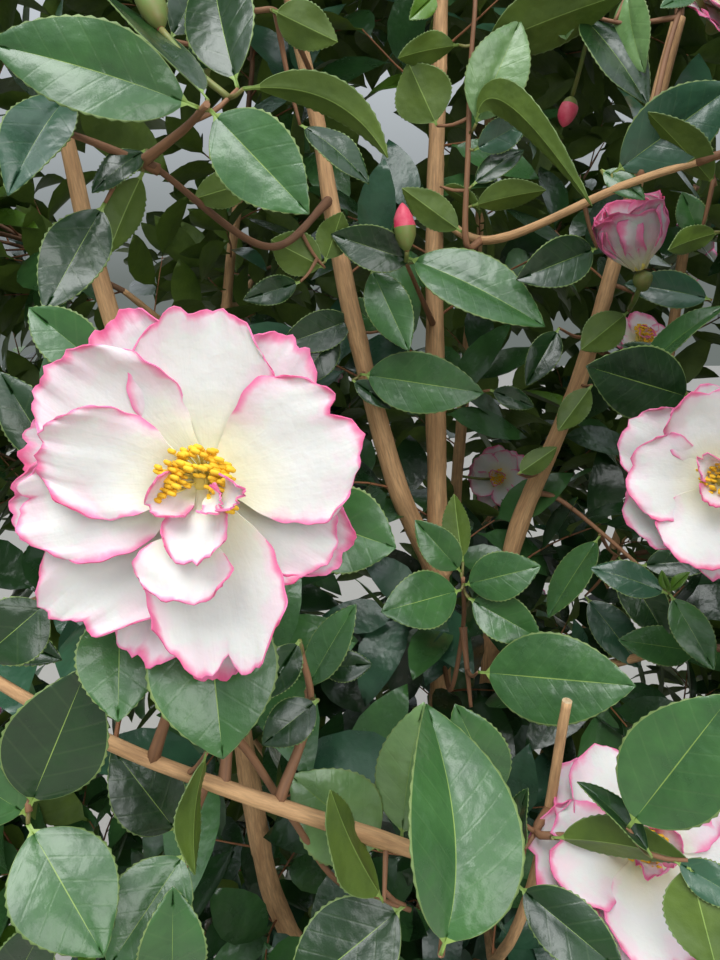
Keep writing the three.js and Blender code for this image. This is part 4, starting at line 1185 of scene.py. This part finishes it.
def calyx_part(place, facing):
    """The green cup of scales behind a bloom."""
    return ringed_part(place, -facing, CALYX_RINGS, 10,
                       lambda passed, angle, radius: 0.08 * math.cos(5 * angle))


def stalk_part(end, share, sag, step, radius):
    """A stalk from the nearest wood that sags a little on its way."""
    root = nearest_wood(end)
    path = path_along([root, root.lerp(end, share) - UP * sag, end], step)
    return lay_tube(path, [radius] * len(path), 8)


def stamen_spots(place, facing, count, spread, first, last, seed):
    """Where the stamens of one bloom stand: foot, way that each leans, and length."""
    draw = np.random.default_rng(seed)
    spots = []
    for k in range(count):
        out = round_facing(facing, draw.uniform(first, last))
        lean = spread * draw.uniform(0, 1) ** 0.65
        foot = place + out * draw.uniform(0.5, 3.2) - facing * 1.5
        spots.append((foot, (facing + out * lean).normalized(), draw.uniform(0.82, 1.15)))
    return spots


def largest_petals(heart, facing):
    """The petals of the largest bloom and the small ones among its stamens, each as the photo shows it."""
    petals = []
    for k, (turn, length, width, notch, dip, layer, tilt, ruffle) in enumerate(LARGEST_PETALS):
        petals.append(petal_part(
            heart - facing * layer * LAYER_STEP, facing, turn, length, width, tilt=tilt, ruffle=ruffle,
            notch=(notch, dip), seed=k * 2.7, blush=BLUSHES["back" if layer >= BACK_LAYER else "front"]))
    for k, (turn, length, width, start, tilt, side_cup, ruffle) in enumerate(LARGEST_PETALOIDS):
        petals.append(petal_part(
            heart + facing, facing, turn, length, width, start=start, tilt=tilt, side_cup=side_cup,
            ruffle=ruffle, seed=k * 1.9 + 1, grid=(22, 22), blush=BLUSHES["petaloid"]))
    return petals


blooms = []
stamens = []
for number, (name, bloom) in enumerate(FRONT_BLOOMS.items()):
    middle, facing = Vector(bloom["middle"]), Vector(bloom["facing"]).normalized()
    blooms.append({"middle": middle, "across": bloom["across"]})
    if name == "largest":
        heart = seen(*LARGEST_HEART, (middle - EYE).dot(FORWARD) - 1)
        petals = largest_petals(heart, facing)
        stamens += stamen_spots(heart, facing, *STAMENS[name], BLOOM_SEEDS["largest_stamens"])
    else:
        heart = middle
        petals = bloom_parts(heart, facing, bloom["across"], BLOOM_SEEDS["front"] + number,
                             FRONT_GRID if name in FINE_BLOOMS else SMALL_GRID,
                             openness=bloom.get("openness", 1.0), blush=bloom.get("blush", 1.0))
        stamens += stamen_spots(
            heart, facing, *STAMENS["half_open" if "openness" in bloom else "open"], number)
    near_cells += [part["points"] for part in petals]
    cup = [stalk_part(middle - facing * 8, **BLOOM_STALK), calyx_part(heart - facing * 2, facing)]
    make_piece(f"bloom_{name}", petals, [PETAL], ["mass_middle_1"])
    make_piece(f"calyx_{name}", cup, [CALYX], ["mass_middle_1"])
    make_piece(f"boss_{name}", [ringed_part(heart, facing, BOSS_RINGS, 12)], [FILAMENT],
               ["mass_middle_1"])

# Buds
# Plump buds with overlapping scales: green at the foot, and rose where the petals swell out.
BUD_BULGE = (  # share of the length, share of the width
    (0, 0.24), (0.12, 0.62), (0.3, 0.94), (0.5, 1), (0.7, 0.86), (0.86, 0.58), (0.96, 0.26), (1, 0.08))
BUD_SIDES = 14
BUDS = [  # foot and tip in the picture with their depth, width in pixels, share that is green
    ((407, 251, 388), (402, 203, 384), 22, 0.3),
    ((161, 29, 260), (138, -30, 262), 30, 0.6),
    ((572, 97, 410), (563, 127, 411), 19, 0.16),
    ((207, 76, 292), (196, 50, 290), 18, 0.35),
]
BUD_STALK = {"share": 0.5, "sag": 2, "step": 4, "radius": 1.2}
BUD_ROSE = soft_finish("bud_rose", colour(216, 58, 92), colour(238, 130, 140))
bud_parts = []
for foot_pixel, tip_pixel, width_pixels, green in BUDS:
    foot, tip = seen(*foot_pixel), seen(*tip_pixel)
    half = width_pixels / 2 * foot_pixel[2] / FOCAL
    path = [foot.lerp(tip, share) for share, _ in BUD_BULGE]
    bud = lay_tube(path, [half * bulge for _, bulge in BUD_BULGE], BUD_SIDES,
                   lambda passed, angle, radius: 0.05 * math.sin(3 * angle + 0.4 * passed))
    stretches = len(path) - 1
    bud["finishes"] = [int(k // BUD_SIDES / stretches > green) for k in range(len(bud["faces"]))]
    bud_parts += [bud, stalk_part(foot, **BUD_STALK)]
make_piece("front_buds", bud_parts, [CALYX, BUD_ROSE], ["mass_upper_1", "mass_upper_2"])

# Twigs
# Slim twigs carry the leaves of each mass: one main twig from its limb and side twigs round it, by
# the rule of the solids, then finer twigs that reach a little into the neighbouring masses.
GOLDEN_TURN = math.radians(137.5)
TWIG = {"main": 3.4, "side": 2.4, "tip": 1.5, "most": 190, "least": 45, "step": 10}
SIDE_TWIGS = {"count": 4, "first": 0.22, "share": 0.7}
ROOM = {"space": 4, "limb": 3.5}
PROBE = {"reach": 5, "step": 6, "near": 16}  # steps at which a way is tried, and what counts as near it
FINE_TWIG = {"every": 14, "most": 92, "least": 24, "radii": (1.15, 0.6), "overlap": -16, "from": 0.15,
             "step": 12, "bare": 8, "sway": 0.05}
TIP_TWIG = {"most": 50, "least": 15}
FAR_REACH = {"upper": (128, -40), "top": (128, -44)}  # most and overlap in the tiers that stand far apart
LIMB_SHOOT = {"every": 34, "most": 78, "lowest": 200, "bare": 20, "sway": 0.06, "step": 10}
SLIMMER = 0.8  # of the solids' twigs
NEAR_DEPTH = 430  # up to here, in the picture, growth stays behind what is laid by the photo
CELL = 8  # pixels
BORDER = 60  # pixels round the picture that are looked at too
BEHIND = 12  # how far behind it stays
TWIG_SEEDS = {"fine": 40, "limb": 500}


def seeded(seed):
    """A repeatable run of numbers from 0 to 1, the same as the solids use."""
    state = (seed + 1) * 2654435761 % 2**32
    drawn = 0
    while True:
        state = (state * 1664525 + 1013904223) % 2**32
        drawn += 1
        if drawn > 2:
            yield state / 2**32


def outwardness(point):
    """How far out in the crown a point is: 0 on its axis at mid height, 1 on its outer face."""
    level = math.hypot(point.x / CROWN["width"], point.y / CROWN["depth"])
    rise = abs(point.z - CROWN["middle"]) / CROWN["height"]
    return (level ** CROWN["squareness"] + rise ** CROWN["squareness"]) ** (1 / CROWN["squareness"])


def in_space(mass, point, margin):
    """Whether a point is inside the crown and nearer to its own mass than to any other."""
    if outwardness(point) > 1:
        return False
    own = (point - mass["middle"]).length_squared
    for other in masses:
        if other is not mass:
            apart = (mass["middle"] - other["middle"]).length
            if ((point - other["middle"]).length_squared - own) / (2 * apart) < margin:
                return False
    return True


def reach_in_space(mass, start, along, most, margin):
    reach = 0
    while reach < most and in_space(mass, start + along * (reach + PROBE["reach"]), margin):
        reach += PROBE["reach"]
    return reach


limb_tree = kdtree.KDTree(len(limb_samples))
for number, (point, _) in enumerate(limb_samples):
    limb_tree.insert(point, number)
limb_tree.balance()


def clear_of_limbs(start, end, radius):
    length = (end - start).length
    for k in range(int(length / PROBE["step"]) + 1):
        point = start.lerp(end, PROBE["step"] * k / length)
        for _, number, gap in limb_tree.find_range(point, PROBE["near"]):
            if gap < limb_samples[number][1] + radius + ROOM["limb"]:
                return False
    return True


def side_way(along, number, extra, square=None):
    """A way square to another, turned on by the golden angle for each twig or leaf."""
    square = square or along.cross(UP)
    return Quaternion(along, number * GOLDEN_TURN + extra) @ square.normalized()


def level_way(point):
    """The way straight out from the crown's axis to a point."""
    return Vector((point.x, point.y, 0)).normalized()


def grow_twigs(mass):
    """The main twig of a mass and its side twigs, by the rule of the solids."""
    draw = seeded(mass["seed"])
    start, middle = mass["start"], mass["middle"]
    inner = (middle - start).length
    heading = (middle - start).normalized()
    outward = level_way(middle)
    lean = (heading * 0.5 + outward * 0.6 + UP * 0.35).normalized()
    bend = start + heading * (inner * 0.8)
    tip = bend + lean * (0.86 * reach_in_space(mass, bend, lean, TWIG["most"], ROOM["space"]))
    routes = [("main", [start, bend, tip])]
    stalk = (bend - start).length
    whole = stalk + (tip - bend).length
    for k in range(SIDE_TWIGS["count"]):
        share = SIDE_TWIGS["share"] * (k + next(draw) * 0.6) / SIDE_TWIGS["count"]
        passed = whole * (SIDE_TWIGS["first"] + share)
        if passed < stalk:
            root, along = start.lerp(bend, passed / stalk), heading
        else:
            root, along = bend.lerp(tip, (passed - stalk) / (whole - stalk)), lean
        side = side_way(along, k, next(draw) * 0.5)
        away = (along * 0.55 + side * 0.9 + UP * 0.22 + outward * 0.25).normalized()
        reach = reach_in_space(mass, root, away, TWIG["most"], ROOM["space"]) * (0.8 + 0.16 * next(draw))
        end = root + away * reach
        if reach >= TWIG["least"] and clear_of_limbs(root, end, TWIG["side"]):
            routes.append(("side", [root, root.lerp(end, 0.5) + UP * reach * 0.04, end]))
    return [{"path": path_along(route, TWIG["step"]), "radii": (TWIG[kind], TWIG["tip"])}
            for kind, route in routes]


def fine_twig(*route):
    return {"path": path_along(route, FINE_TWIG["step"]), "radii": FINE_TWIG["radii"]}


def swaying_twig(start, end, reach, sway, draw):
    """A fine twig that bends a little off its straight way."""
    return fine_twig(start, start.lerp(end, 0.5) + Vector(draw.uniform(-1, 1, 3)) * reach * sway, end)


def fine_twigs(mass, twig, draw):
    """Finer twigs at even steps along a twig, each turned by the golden angle from the last."""
    grown = []
    longest, overlap = FAR_REACH.get(mass["tier"], (FINE_TWIG["most"], FINE_TWIG["overlap"]))
    passed, due = 0, FINE_TWIG["every"] * 0.6
    outward = level_way(mass["middle"])
    for a, b in zip(twig["path"], twig["path"][1:]):
        passed += (b - a).length
        if passed < due or outwardness(b) < FINE_TWIG["from"]:
            continue
        due = passed + FINE_TWIG["every"] * draw.uniform(0.8, 1.2)
        along = (b - a).normalized()
        side = side_way(along, len(grown), draw.uniform(0, 0.8))
        away = (along * 0.6 + side * 0.9 + UP * 0.2 + outward * 0.25).normalized()
        reach = reach_in_space(mass, b, away, longest * draw.uniform(0.6, 1), overlap)
        end = b + away * reach
        if reach >= FINE_TWIG["least"] and clear_of_limbs(b + away * FINE_TWIG["bare"], end, 1):
            grown.append(swaying_twig(b, end, reach, FINE_TWIG["sway"], draw))
    tip = twig["path"][-1]
    along = (tip - twig["path"][-2]).normalized()
    reach = reach_in_space(mass, tip, along, TIP_TWIG["most"], overlap)
    if reach > TIP_TWIG["least"]:
        grown.append(fine_twig(tip, tip + along * reach))
    return grown


def limb_shoots(limb, draw):
    """Leafy shoots along a limb, each with the mass in whose space it grows."""
    path = path_along(limb["points"], LIMB_SHOOT["step"])
    passed, tried, grown = 0, 0, []
    for a, b in zip(path, path[1:]):
        passed += (b - a).length
        if passed < LIMB_SHOOT["every"] * (tried + 1) or b.z < LIMB_SHOOT["lowest"]:
            continue
        mass = min(masses, key=lambda other: (other["middle"] - b).length)
        along = (b - a).normalized()
        side = side_way(along, tried, draw.uniform(0, 0.8), along.orthogonal())
        away = (along * 0.3 + side + UP * 0.25).normalized()
        reach = LIMB_SHOOT["most"] * draw.uniform(0.55, 1)
        end = b + away * reach
        tried += 1
        if outwardness(end) < 1 and clear_of_limbs(b + away * LIMB_SHOOT["bare"], end, 1):
            grown.append((mass["name"], swaying_twig(b, end, reach, LIMB_SHOOT["sway"], draw)))
    return grown


columns, rows = (PICTURE[0] + 2 * BORDER) // CELL, (PICTURE[1] + 2 * BORDER) // CELL
front_depth = np.full((rows, columns), np.inf)
deepest = np.full((rows, columns), float(NEAR_DEPTH))
for points in near_cells:
    away = points - np.array(EYE)
    depth = away @ np.array(FORWARD)
    cell_x = ((PICTURE[0] / 2 + FOCAL * away[:, 0] / depth + BORDER) // CELL).astype(int)
    cell_y = ((PICTURE[1] / 2 - FOCAL * (away @ np.array(UPWARD)) / depth + BORDER) // CELL).astype(int)
    inside = (cell_x >= 0) & (cell_x < columns) & (cell_y >= 0) & (cell_y < rows)
    np.minimum.at(front_depth, (cell_y[inside], cell_x[inside]), depth[inside])
    np.maximum.at(deepest, (cell_y[inside], cell_x[inside]), depth[inside])


def may_grow(points):
    """Whether something leaves in view what is laid by the photo, also beyond NEAR_DEPTH."""
    for point in points:
        across, down, depth = pixel_of(point)
        x, y = int((across + BORDER) // CELL), int((down + BORDER) // CELL)
        if not (0 <= x < columns and 0 <= y < rows) or depth > deepest[y, x]:
            continue
        if depth < front_depth[y, x] + BEHIND:
            return False
    return True


def new_growth(name, inputs, output):
    """A geometry tree with its own sockets, and what its inputs give."""
    tree, given = new_group(name, "GeometryNodeTree", inputs, {output: "Geometry"})
    tree.is_modifier = True
    return tree, given


def own_value(tree, label, kind):
    """The value of a point or a face under a name."""
    return add_node(tree, "GeometryNodeInputNamedAttribute", {"Name": label},
                    data_type=kind).outputs["Attribute"]


def tube_tree():
    """Turns chains of edges into tubes, by each point's own radius."""
    tree, given = new_growth("tubes_along_edges", {
        "Chains": "Geometry", "Sides": "Int", "Finish": "Material"}, "Tubes")
    radius = own_value(tree, "thickness", "FLOAT")
    line = add_node(tree, "GeometryNodeMeshToCurve", {"Mesh": given["Chains"]})
    ring = add_node(tree, "GeometryNodeCurvePrimitiveCircle", {"Resolution": given["Sides"], "Radius": 1.0})
    tubes = add_node(tree, "GeometryNodeCurveToMesh", {
        "Curve": line.outputs["Curve"], "Profile Curve": ring.outputs["Curve"],
        "Scale": radius, "Fill Caps": True})
    finished = add_node(tree, "GeometryNodeSetMaterial", {
        "Geometry": tubes.outputs["Mesh"], "Material": given["Finish"]})
    add_node(tree, "NodeGroupOutput", {"Tubes": finished.outputs["Geometry"]})
    return tree


TUBES = tube_tree()


def grow_piece(name, mesh, tree, inputs, replaced):
    """Runs a node tree on a mesh, and keeps what it makes as one piece of the shrub."""
    holder = add_object(name, mesh)
    modifier = holder.modifiers.new("grow", "NODES")
    modifier.node_group = tree
    for item in tree.interface.items_tree:
        if item.in_out == "INPUT" and item.name in inputs:
            modifier[item.identifier] = inputs[item.name]
    graph = bpy.context.evaluated_depsgraph_get()
    made = bpy.data.meshes.new_from_object(holder.evaluated_get(graph), depsgraph=graph)
    holder.modifiers.clear()
    holder.data = made
    hand_over(holder, replaced)


def twig_tubes(name, twigs, sides, finish, replaced):
    points, edges, thickness = [], [], []
    for twig in twigs:
        count = len(twig["path"])
        edges += [(len(points) + k, len(points) + k + 1) for k in range(count - 1)]
        thickness += [radius * SLIMMER * MM for radius in tapered(twig["radii"], count)]
        points += [tuple(point * MM) for point in twig["path"]]
    mesh = bpy.data.meshes.new(name)
    mesh.from_pydata(points, edges, [])
    set_values(mesh, "thickness", "FLOAT", thickness)
    grow_piece(name, mesh, TUBES, {"Sides": sides, "Finish": finish}, replaced)


TWIG_KINDS = {  # sides and finish
    "twigs": (6, soft_finish("twig_bark", colour(138, 102, 74), colour(104, 74, 54), 0.65)),
    "shoots": (4, soft_finish("shoot_bark", colour(146, 96, 60), colour(110, 74, 46), 0.65)),
}
grown_twigs = {}
for mass in masses:
    draw = np.random.default_rng(mass["seed"] + TWIG_SEEDS["fine"])
    twigs = grow_twigs(mass)
    shoots = [shoot for twig in twigs for shoot in fine_twigs(mass, twig, draw)]
    grown_twigs[mass["name"]] = {
        "twigs": [twig for twig in twigs if may_grow(twig["path"][2:])],
        "shoots": [shoot for shoot in shoots if may_grow(shoot["path"])],
    }
for number, limb in enumerate(limbs.values()):
    for mass_name, shoot in limb_shoots(limb, np.random.default_rng(number + TWIG_SEEDS["limb"])):
        if may_grow(shoot["path"]):
            grown_twigs[mass_name]["shoots"].append(shoot)
tier_masses = {tier: [] for tier, *_ in TIERS}
for mass in masses:
    tier_masses[mass["tier"]].append(mass)
for tier, members in tier_masses.items():
    names = [mass["name"] for mass in members]
    for kind, (sides, finish) in TWIG_KINDS.items():
        grown = [twig for name in names for twig in grown_twigs[name][kind]]
        twig_tubes(f"{kind}_{tier}", grown, sides, finish, names)

# Leaves
# Leathery leaves 47 to 70 mm long along each fine twig, turned by the golden angle, with their faces
# up and outward. Each leaf is a closed blade of a few faces with its short stalk.
LEAF_FORMS = [  # arch, fold, curl at the edge, sideways lean
    (0.05, 0.24, 0.10, 0.03),
    (0.09, 0.34, 0.05, -0.05),
    (0.03, 0.16, 0.22, -0.02),
    (0.12, 0.28, 0.12, 0.07),
    (-0.03, 0.42, 0.02, 0.04),
]
FORM = {"length": 58, "droop": 0.06, "thickness": 0.5}
FORM_SHARES = (0, 0.08, 0.18, 0.34, 0.52, 0.7, 0.87, 1)
LEAF_SIZES = (0.82, 1.2)
ON_TWIG = {"every": 10, "least": 3, "from": 0.22, "scatter": 0.35, "same_tone": 0.75}
LEAF_ROOM = {"crown": 1.03, "middle": 12, "tip": 9}
LEAF_SEED = 300


def form_object(name, points, faces, layers, smooth):
    """A small form to deal out, in metres, whose faces know the layer that gives their finish."""
    mesh = bpy.data.meshes.new(name)
    mesh.from_pydata(np.array(points) * MM, [], faces)
    set_values(mesh, "layer", "INT", layers, "FACE")
    mesh.polygons.foreach_set("use_smooth", smooth)
    return bpy.data.objects.new(name, mesh)


def leaf_form(name, arch, fold, curl, lean):
    """A closed blade: two faces above and two below for each stretch, sharp along its edges."""
    half = leaf_outline(np.array(FORM_SHARES), FORM["length"] * SHAPE["ratio"])
    points = []
    for share, out in zip(FORM_SHARES, half):
        lift = FORM["length"] * (arch * 4 * share * (1 - share) - FORM["droop"] * share**2)
        shift = FORM["length"] * lean * 4 * share * (1 - share)
        y = FORM["length"] * share
        rise = out * (math.sin(fold) - curl)
        spread = out * math.cos(fold)
        points += [(shift - spread, y, lift + rise), (shift, y, lift), (shift + spread, y, lift + rise),
                   (shift, y, lift - FORM["thickness"])]
    faces, layers = [], []
    for r in range(0, len(points) - 4, 4):
        left, rib, right, under = range(r, r + 4)
        faces += [(left, rib, rib + 4, left + 4), (rib, right, right + 4, rib + 4)]
        faces += [(left, left + 4, under + 4, under), (under, under + 4, right + 4, right)]
        layers += [0, 0, 1, 1]
    last = len(points) - 4
    faces += [(0, 3, 2, 1), (last + 1, last + 2, last + 3, last)]
    form = form_object(name, points, faces, [*layers, 1, 1], [True] * len(faces))
    for edge in form.data.edges:
        a, b = sorted(edge.vertices)
        edge.use_edge_sharp = b - a == 4 and a % 4 in (0, 2)
    return form


def dealing_tree(name, toned, fixed):
    """Puts forms on points. A face of layer 0 takes the finish of its spot's tone, any other its own."""
    tree, given = new_growth(name, {"Spots": "Geometry", "Forms": "Collection"}, "Dealt")

    def equal(value, number):
        return add_node(tree, "FunctionNodeCompare", {2: value, 3: number}, data_type="INT",
                        operation="EQUAL").outputs["Result"]

    forms = add_node(tree, "GeometryNodeCollectionInfo", {
        "Collection": given["Forms"], "Separate Children": True, "Reset Children": True})
    dealt = add_node(tree, "GeometryNodeInstanceOnPoints", {
        "Points": given["Spots"], "Instance": forms.outputs["Instances"], "Pick Instance": True,
        "Instance Index": own_value(tree, "form", "INT"),
        "Rotation": own_value(tree, "turn", "QUATERNION"), "Scale": own_value(tree, "size", "FLOAT")})
    made = add_node(
        tree, "GeometryNodeRealizeInstances", {"Geometry": dealt.outputs["Instances"]}).outputs[0]
    layer, tone = own_value(tree, "layer", "INT"), own_value(tree, "tone", "INT")
    chosen = [(finish, add_node(tree, "FunctionNodeBooleanMath", {
        0: equal(layer, 0), 1: equal(tone, number)}, operation="AND").outputs[0])
        for number, finish in enumerate(toned)]
    chosen += [(finish, equal(layer, number + 1)) for number, finish in enumerate(fixed)]
    for finish, selection in chosen:
        made = add_node(tree, "GeometryNodeSetMaterial", {
            "Geometry": made, "Selection": selection, "Material": finish}).outputs[0]
    add_node(tree, "NodeGroupOutput", {"Dealt": made})
    return tree


def deal_out(name, tree, forms, spots, replaced):
    """Deals forms out on spots, each a place, a turn, a size, the number of its form, and a tone."""
    places, turns, sizes, numbers, tones = zip(*spots)
    mesh = bpy.data.meshes.new(name)
    mesh.from_pydata([tuple(place * MM) for place in places], [], [])
    set_values(mesh, "turn", "QUATERNION", [value for turn in turns for value in turn])
    set_values(mesh, "size", "FLOAT", sizes)
    set_values(mesh, "form", "INT", numbers)
    set_values(mesh, "tone", "INT", tones)
    grow_piece(name, mesh, tree, {"Forms": forms}, replaced)


def gather(name, objects):
    """A collection of forms to deal out."""
    forms = bpy.data.collections.new(name)
    bpy.context.scene.collection.children.link(forms)
    for item in objects:
        forms.objects.link(item)
    return forms


def discard(forms):
    for item in list(forms.objects):
        bpy.data.objects.remove(item)
    bpy.data.collections.remove(forms)


def facing_turn(along, face):
    """The turn that lays a form's length along one way and its upper face towards another."""
    side = along.cross(face).normalized()
    return Matrix((side, along, side.cross(along))).transposed().to_quaternion()


def drawn_tone(draw):
    return int(draw.choice(len(DEALT_TONES), p=list(DEALT_TONES.values())))


def leaf_spots(shoot, draw):
    """Where the leaves of one fine twig sit."""
    path = shoot["path"]
    start, end = path[0], path[-1]
    along = (end - start).normalized()
    count = max(ON_TWIG["least"], round((end - start).length / ON_TWIG["every"]))
    tone = drawn_tone(draw)
    found = []
    for k in range(count + 1):
        share = ON_TWIG["from"] + (1 - ON_TWIG["from"]) * k / count
        root = on_curve(path, share) if len(path) > 2 else start.lerp(end, share)
        side = side_way(along, k, draw.uniform(0, 0.7))
        away = (along * (1.4 if k == count else 0.5) + side * 0.85 - UP * 0.12).normalized()
        size = draw.uniform(*LEAF_SIZES)
        tip = root + away * FORM["length"] * size
        scatter = Vector(draw.uniform(-ON_TWIG["scatter"], ON_TWIG["scatter"], 3))
        face = level_way(root) * 0.7 + UP * 0.8 + scatter
        middle = root.lerp(tip, 0.5)
        if outwardness(tip) > LEAF_ROOM["crown"] or not may_grow([middle, tip]):
            continue
        if limb_tree.find(middle)[2] < LEAF_ROOM["middle"] or limb_tree.find(tip)[2] < LEAF_ROOM["tip"]:
            continue
        leaf_tone = tone if draw.random() < ON_TWIG["same_tone"] else drawn_tone(draw)
        found.append((root, facing_turn(away, face), size, int(draw.integers(len(LEAF_FORMS))), leaf_tone))
    return found


leaf_tree = dealing_tree("leaves_on_twigs", far_leaf, [LEAF_UNDER])
leaf_forms = gather("leaf_forms", [leaf_form(f"leaf_form_{k}", *form) for k, form in enumerate(LEAF_FORMS)])
for tier, members in tier_masses.items():
    spots = []
    for mass in members:
        draw = np.random.default_rng(mass["seed"] + LEAF_SEED)
        for shoot in grown_twigs[mass["name"]]["shoots"]:
            spots += leaf_spots(shoot, draw)
    deal_out(f"leaves_{tier}", leaf_tree, leaf_forms, spots, [mass["name"] for mass in members])
discard(leaf_forms)

# Other blooms
# Open blooms at the outer tips of each mass, as the front shows, with plain bands of colour, and all
# the stamens.
BLOOM = {"across": 84, "sizes": (0.88, 0.22), "stand": 14, "crowding": 0.6, "lift": 0.25}
OUTER = 0.8
BLOOM_RIM = [(0, 0, 0), (30, 0, 0), (-30, 0, 0), (0, 0, 30), (0, 0, -30)]
CROWN_HEART = Vector((0, 0, CROWN["middle"] - 120))
BLOOM_SEED = 100
OUTER_GRID = (8, 8)
OUTER_STAMENS = (26, 0.8, 0, 360)
TIP_STALK = {"half": 4, "radii": [1.3, 1.6], "sides": 6}
FILAMENT_RINGS = ((0, 0.3), (5.5, 0.25), (11, 0.2))  # place along it, radius
ANTHER_RINGS = ((-1.15, 0.36), (-0.7, 0.64), (0.7, 0.64), (1.15, 0.36))  # place across it, radius
STAMEN_FACE = Vector((0.3, 0.2, 0.93))


def stamen_form():
    """A slim filament with its oblong anther at the tip, 12 mm long."""
    filament = lay_tube([Vector((0.0, y, 0.1 * math.sin(y / 3))) for y, _ in FILAMENT_RINGS],
                        [radius for _, radius in FILAMENT_RINGS], 4)
    anther = lay_tube([Vector((x, 11.2, 0.2)) for x, _ in ANTHER_RINGS],
                      [radius for _, radius in ANTHER_RINGS], 5)
    shift = len(filament["points"])
    faces = filament["faces"] + [tuple(corner + shift for corner in face) for face in anther["faces"]]
    layers = [1] * len(filament["faces"]) + [2] * len(anther["faces"])
    return form_object("stamen_form", np.concatenate([filament["points"], anther["points"]]), faces,
                       layers, [len(face) == 4 for face in faces])


def outer_blooms(mass):
    """The blooms at the tips of a mass's side twigs that have room and hide nothing in front."""
    draw = seeded(mass["seed"] + BLOOM_SEED)
    found = []
    for twig in grow_twigs(mass):
        tip = twig["path"][-1]
        outward = (tip - CROWN_HEART).normalized()
        least, range_above = BLOOM["sizes"]
        across = BLOOM["across"] * (least + range_above * next(draw))
        middle = tip + outward * BLOOM["stand"]
        crowded = any((other["middle"] - middle).length < BLOOM["crowding"] * (other["across"] + across)
                      for other in blooms)
        facing = (outward + UP * BLOOM["lift"] * next(draw)).normalized()
        if twig["radii"][0] == TWIG["main"] or crowded or outwardness(tip) < OUTER:
            continue
        if len(found) < mass["blooms"] and may_grow([middle + Vector(shift) for shift in BLOOM_RIM]):
            blooms.append({"middle": middle, "across": across})
            found.append((middle, facing, across, tip, outward, len(blooms)))
    return found


for mass in masses:
    petals, cups = [], []
    for middle, facing, across, tip, outward, number in outer_blooms(mass):
        petals += bloom_parts(
            middle, facing, across, BLOOM_SEEDS["outer"] + number, OUTER_GRID, banded=True)
        stalk = [tip - outward * TIP_STALK["half"], tip + outward * TIP_STALK["half"]]
        cups += [calyx_part(middle, facing), lay_tube(stalk, TIP_STALK["radii"], TIP_STALK["sides"])]
        stamens += stamen_spots(middle, facing, *OUTER_STAMENS, number)
    if petals:
        suffix = mass["name"].replace("mass_", "")
        make_piece(f"bloom_{suffix}", petals, BAND_FINISHES, [mass["name"]])
        make_piece(f"calyx_{suffix}", cups, [CALYX], [mass["name"]])

stamen_tree = dealing_tree("stamens_in_blooms", [], [FILAMENT, ANTHER])
stamen_forms = gather("stamen_forms", [stamen_form()])
stamen_rows = [(foot, facing_turn(way, STAMEN_FACE), size, 0, 0) for foot, way, size in stamens]
deal_out("stamens", stamen_tree, stamen_forms, stamen_rows, ["mass_middle_1"])
discard(stamen_forms)
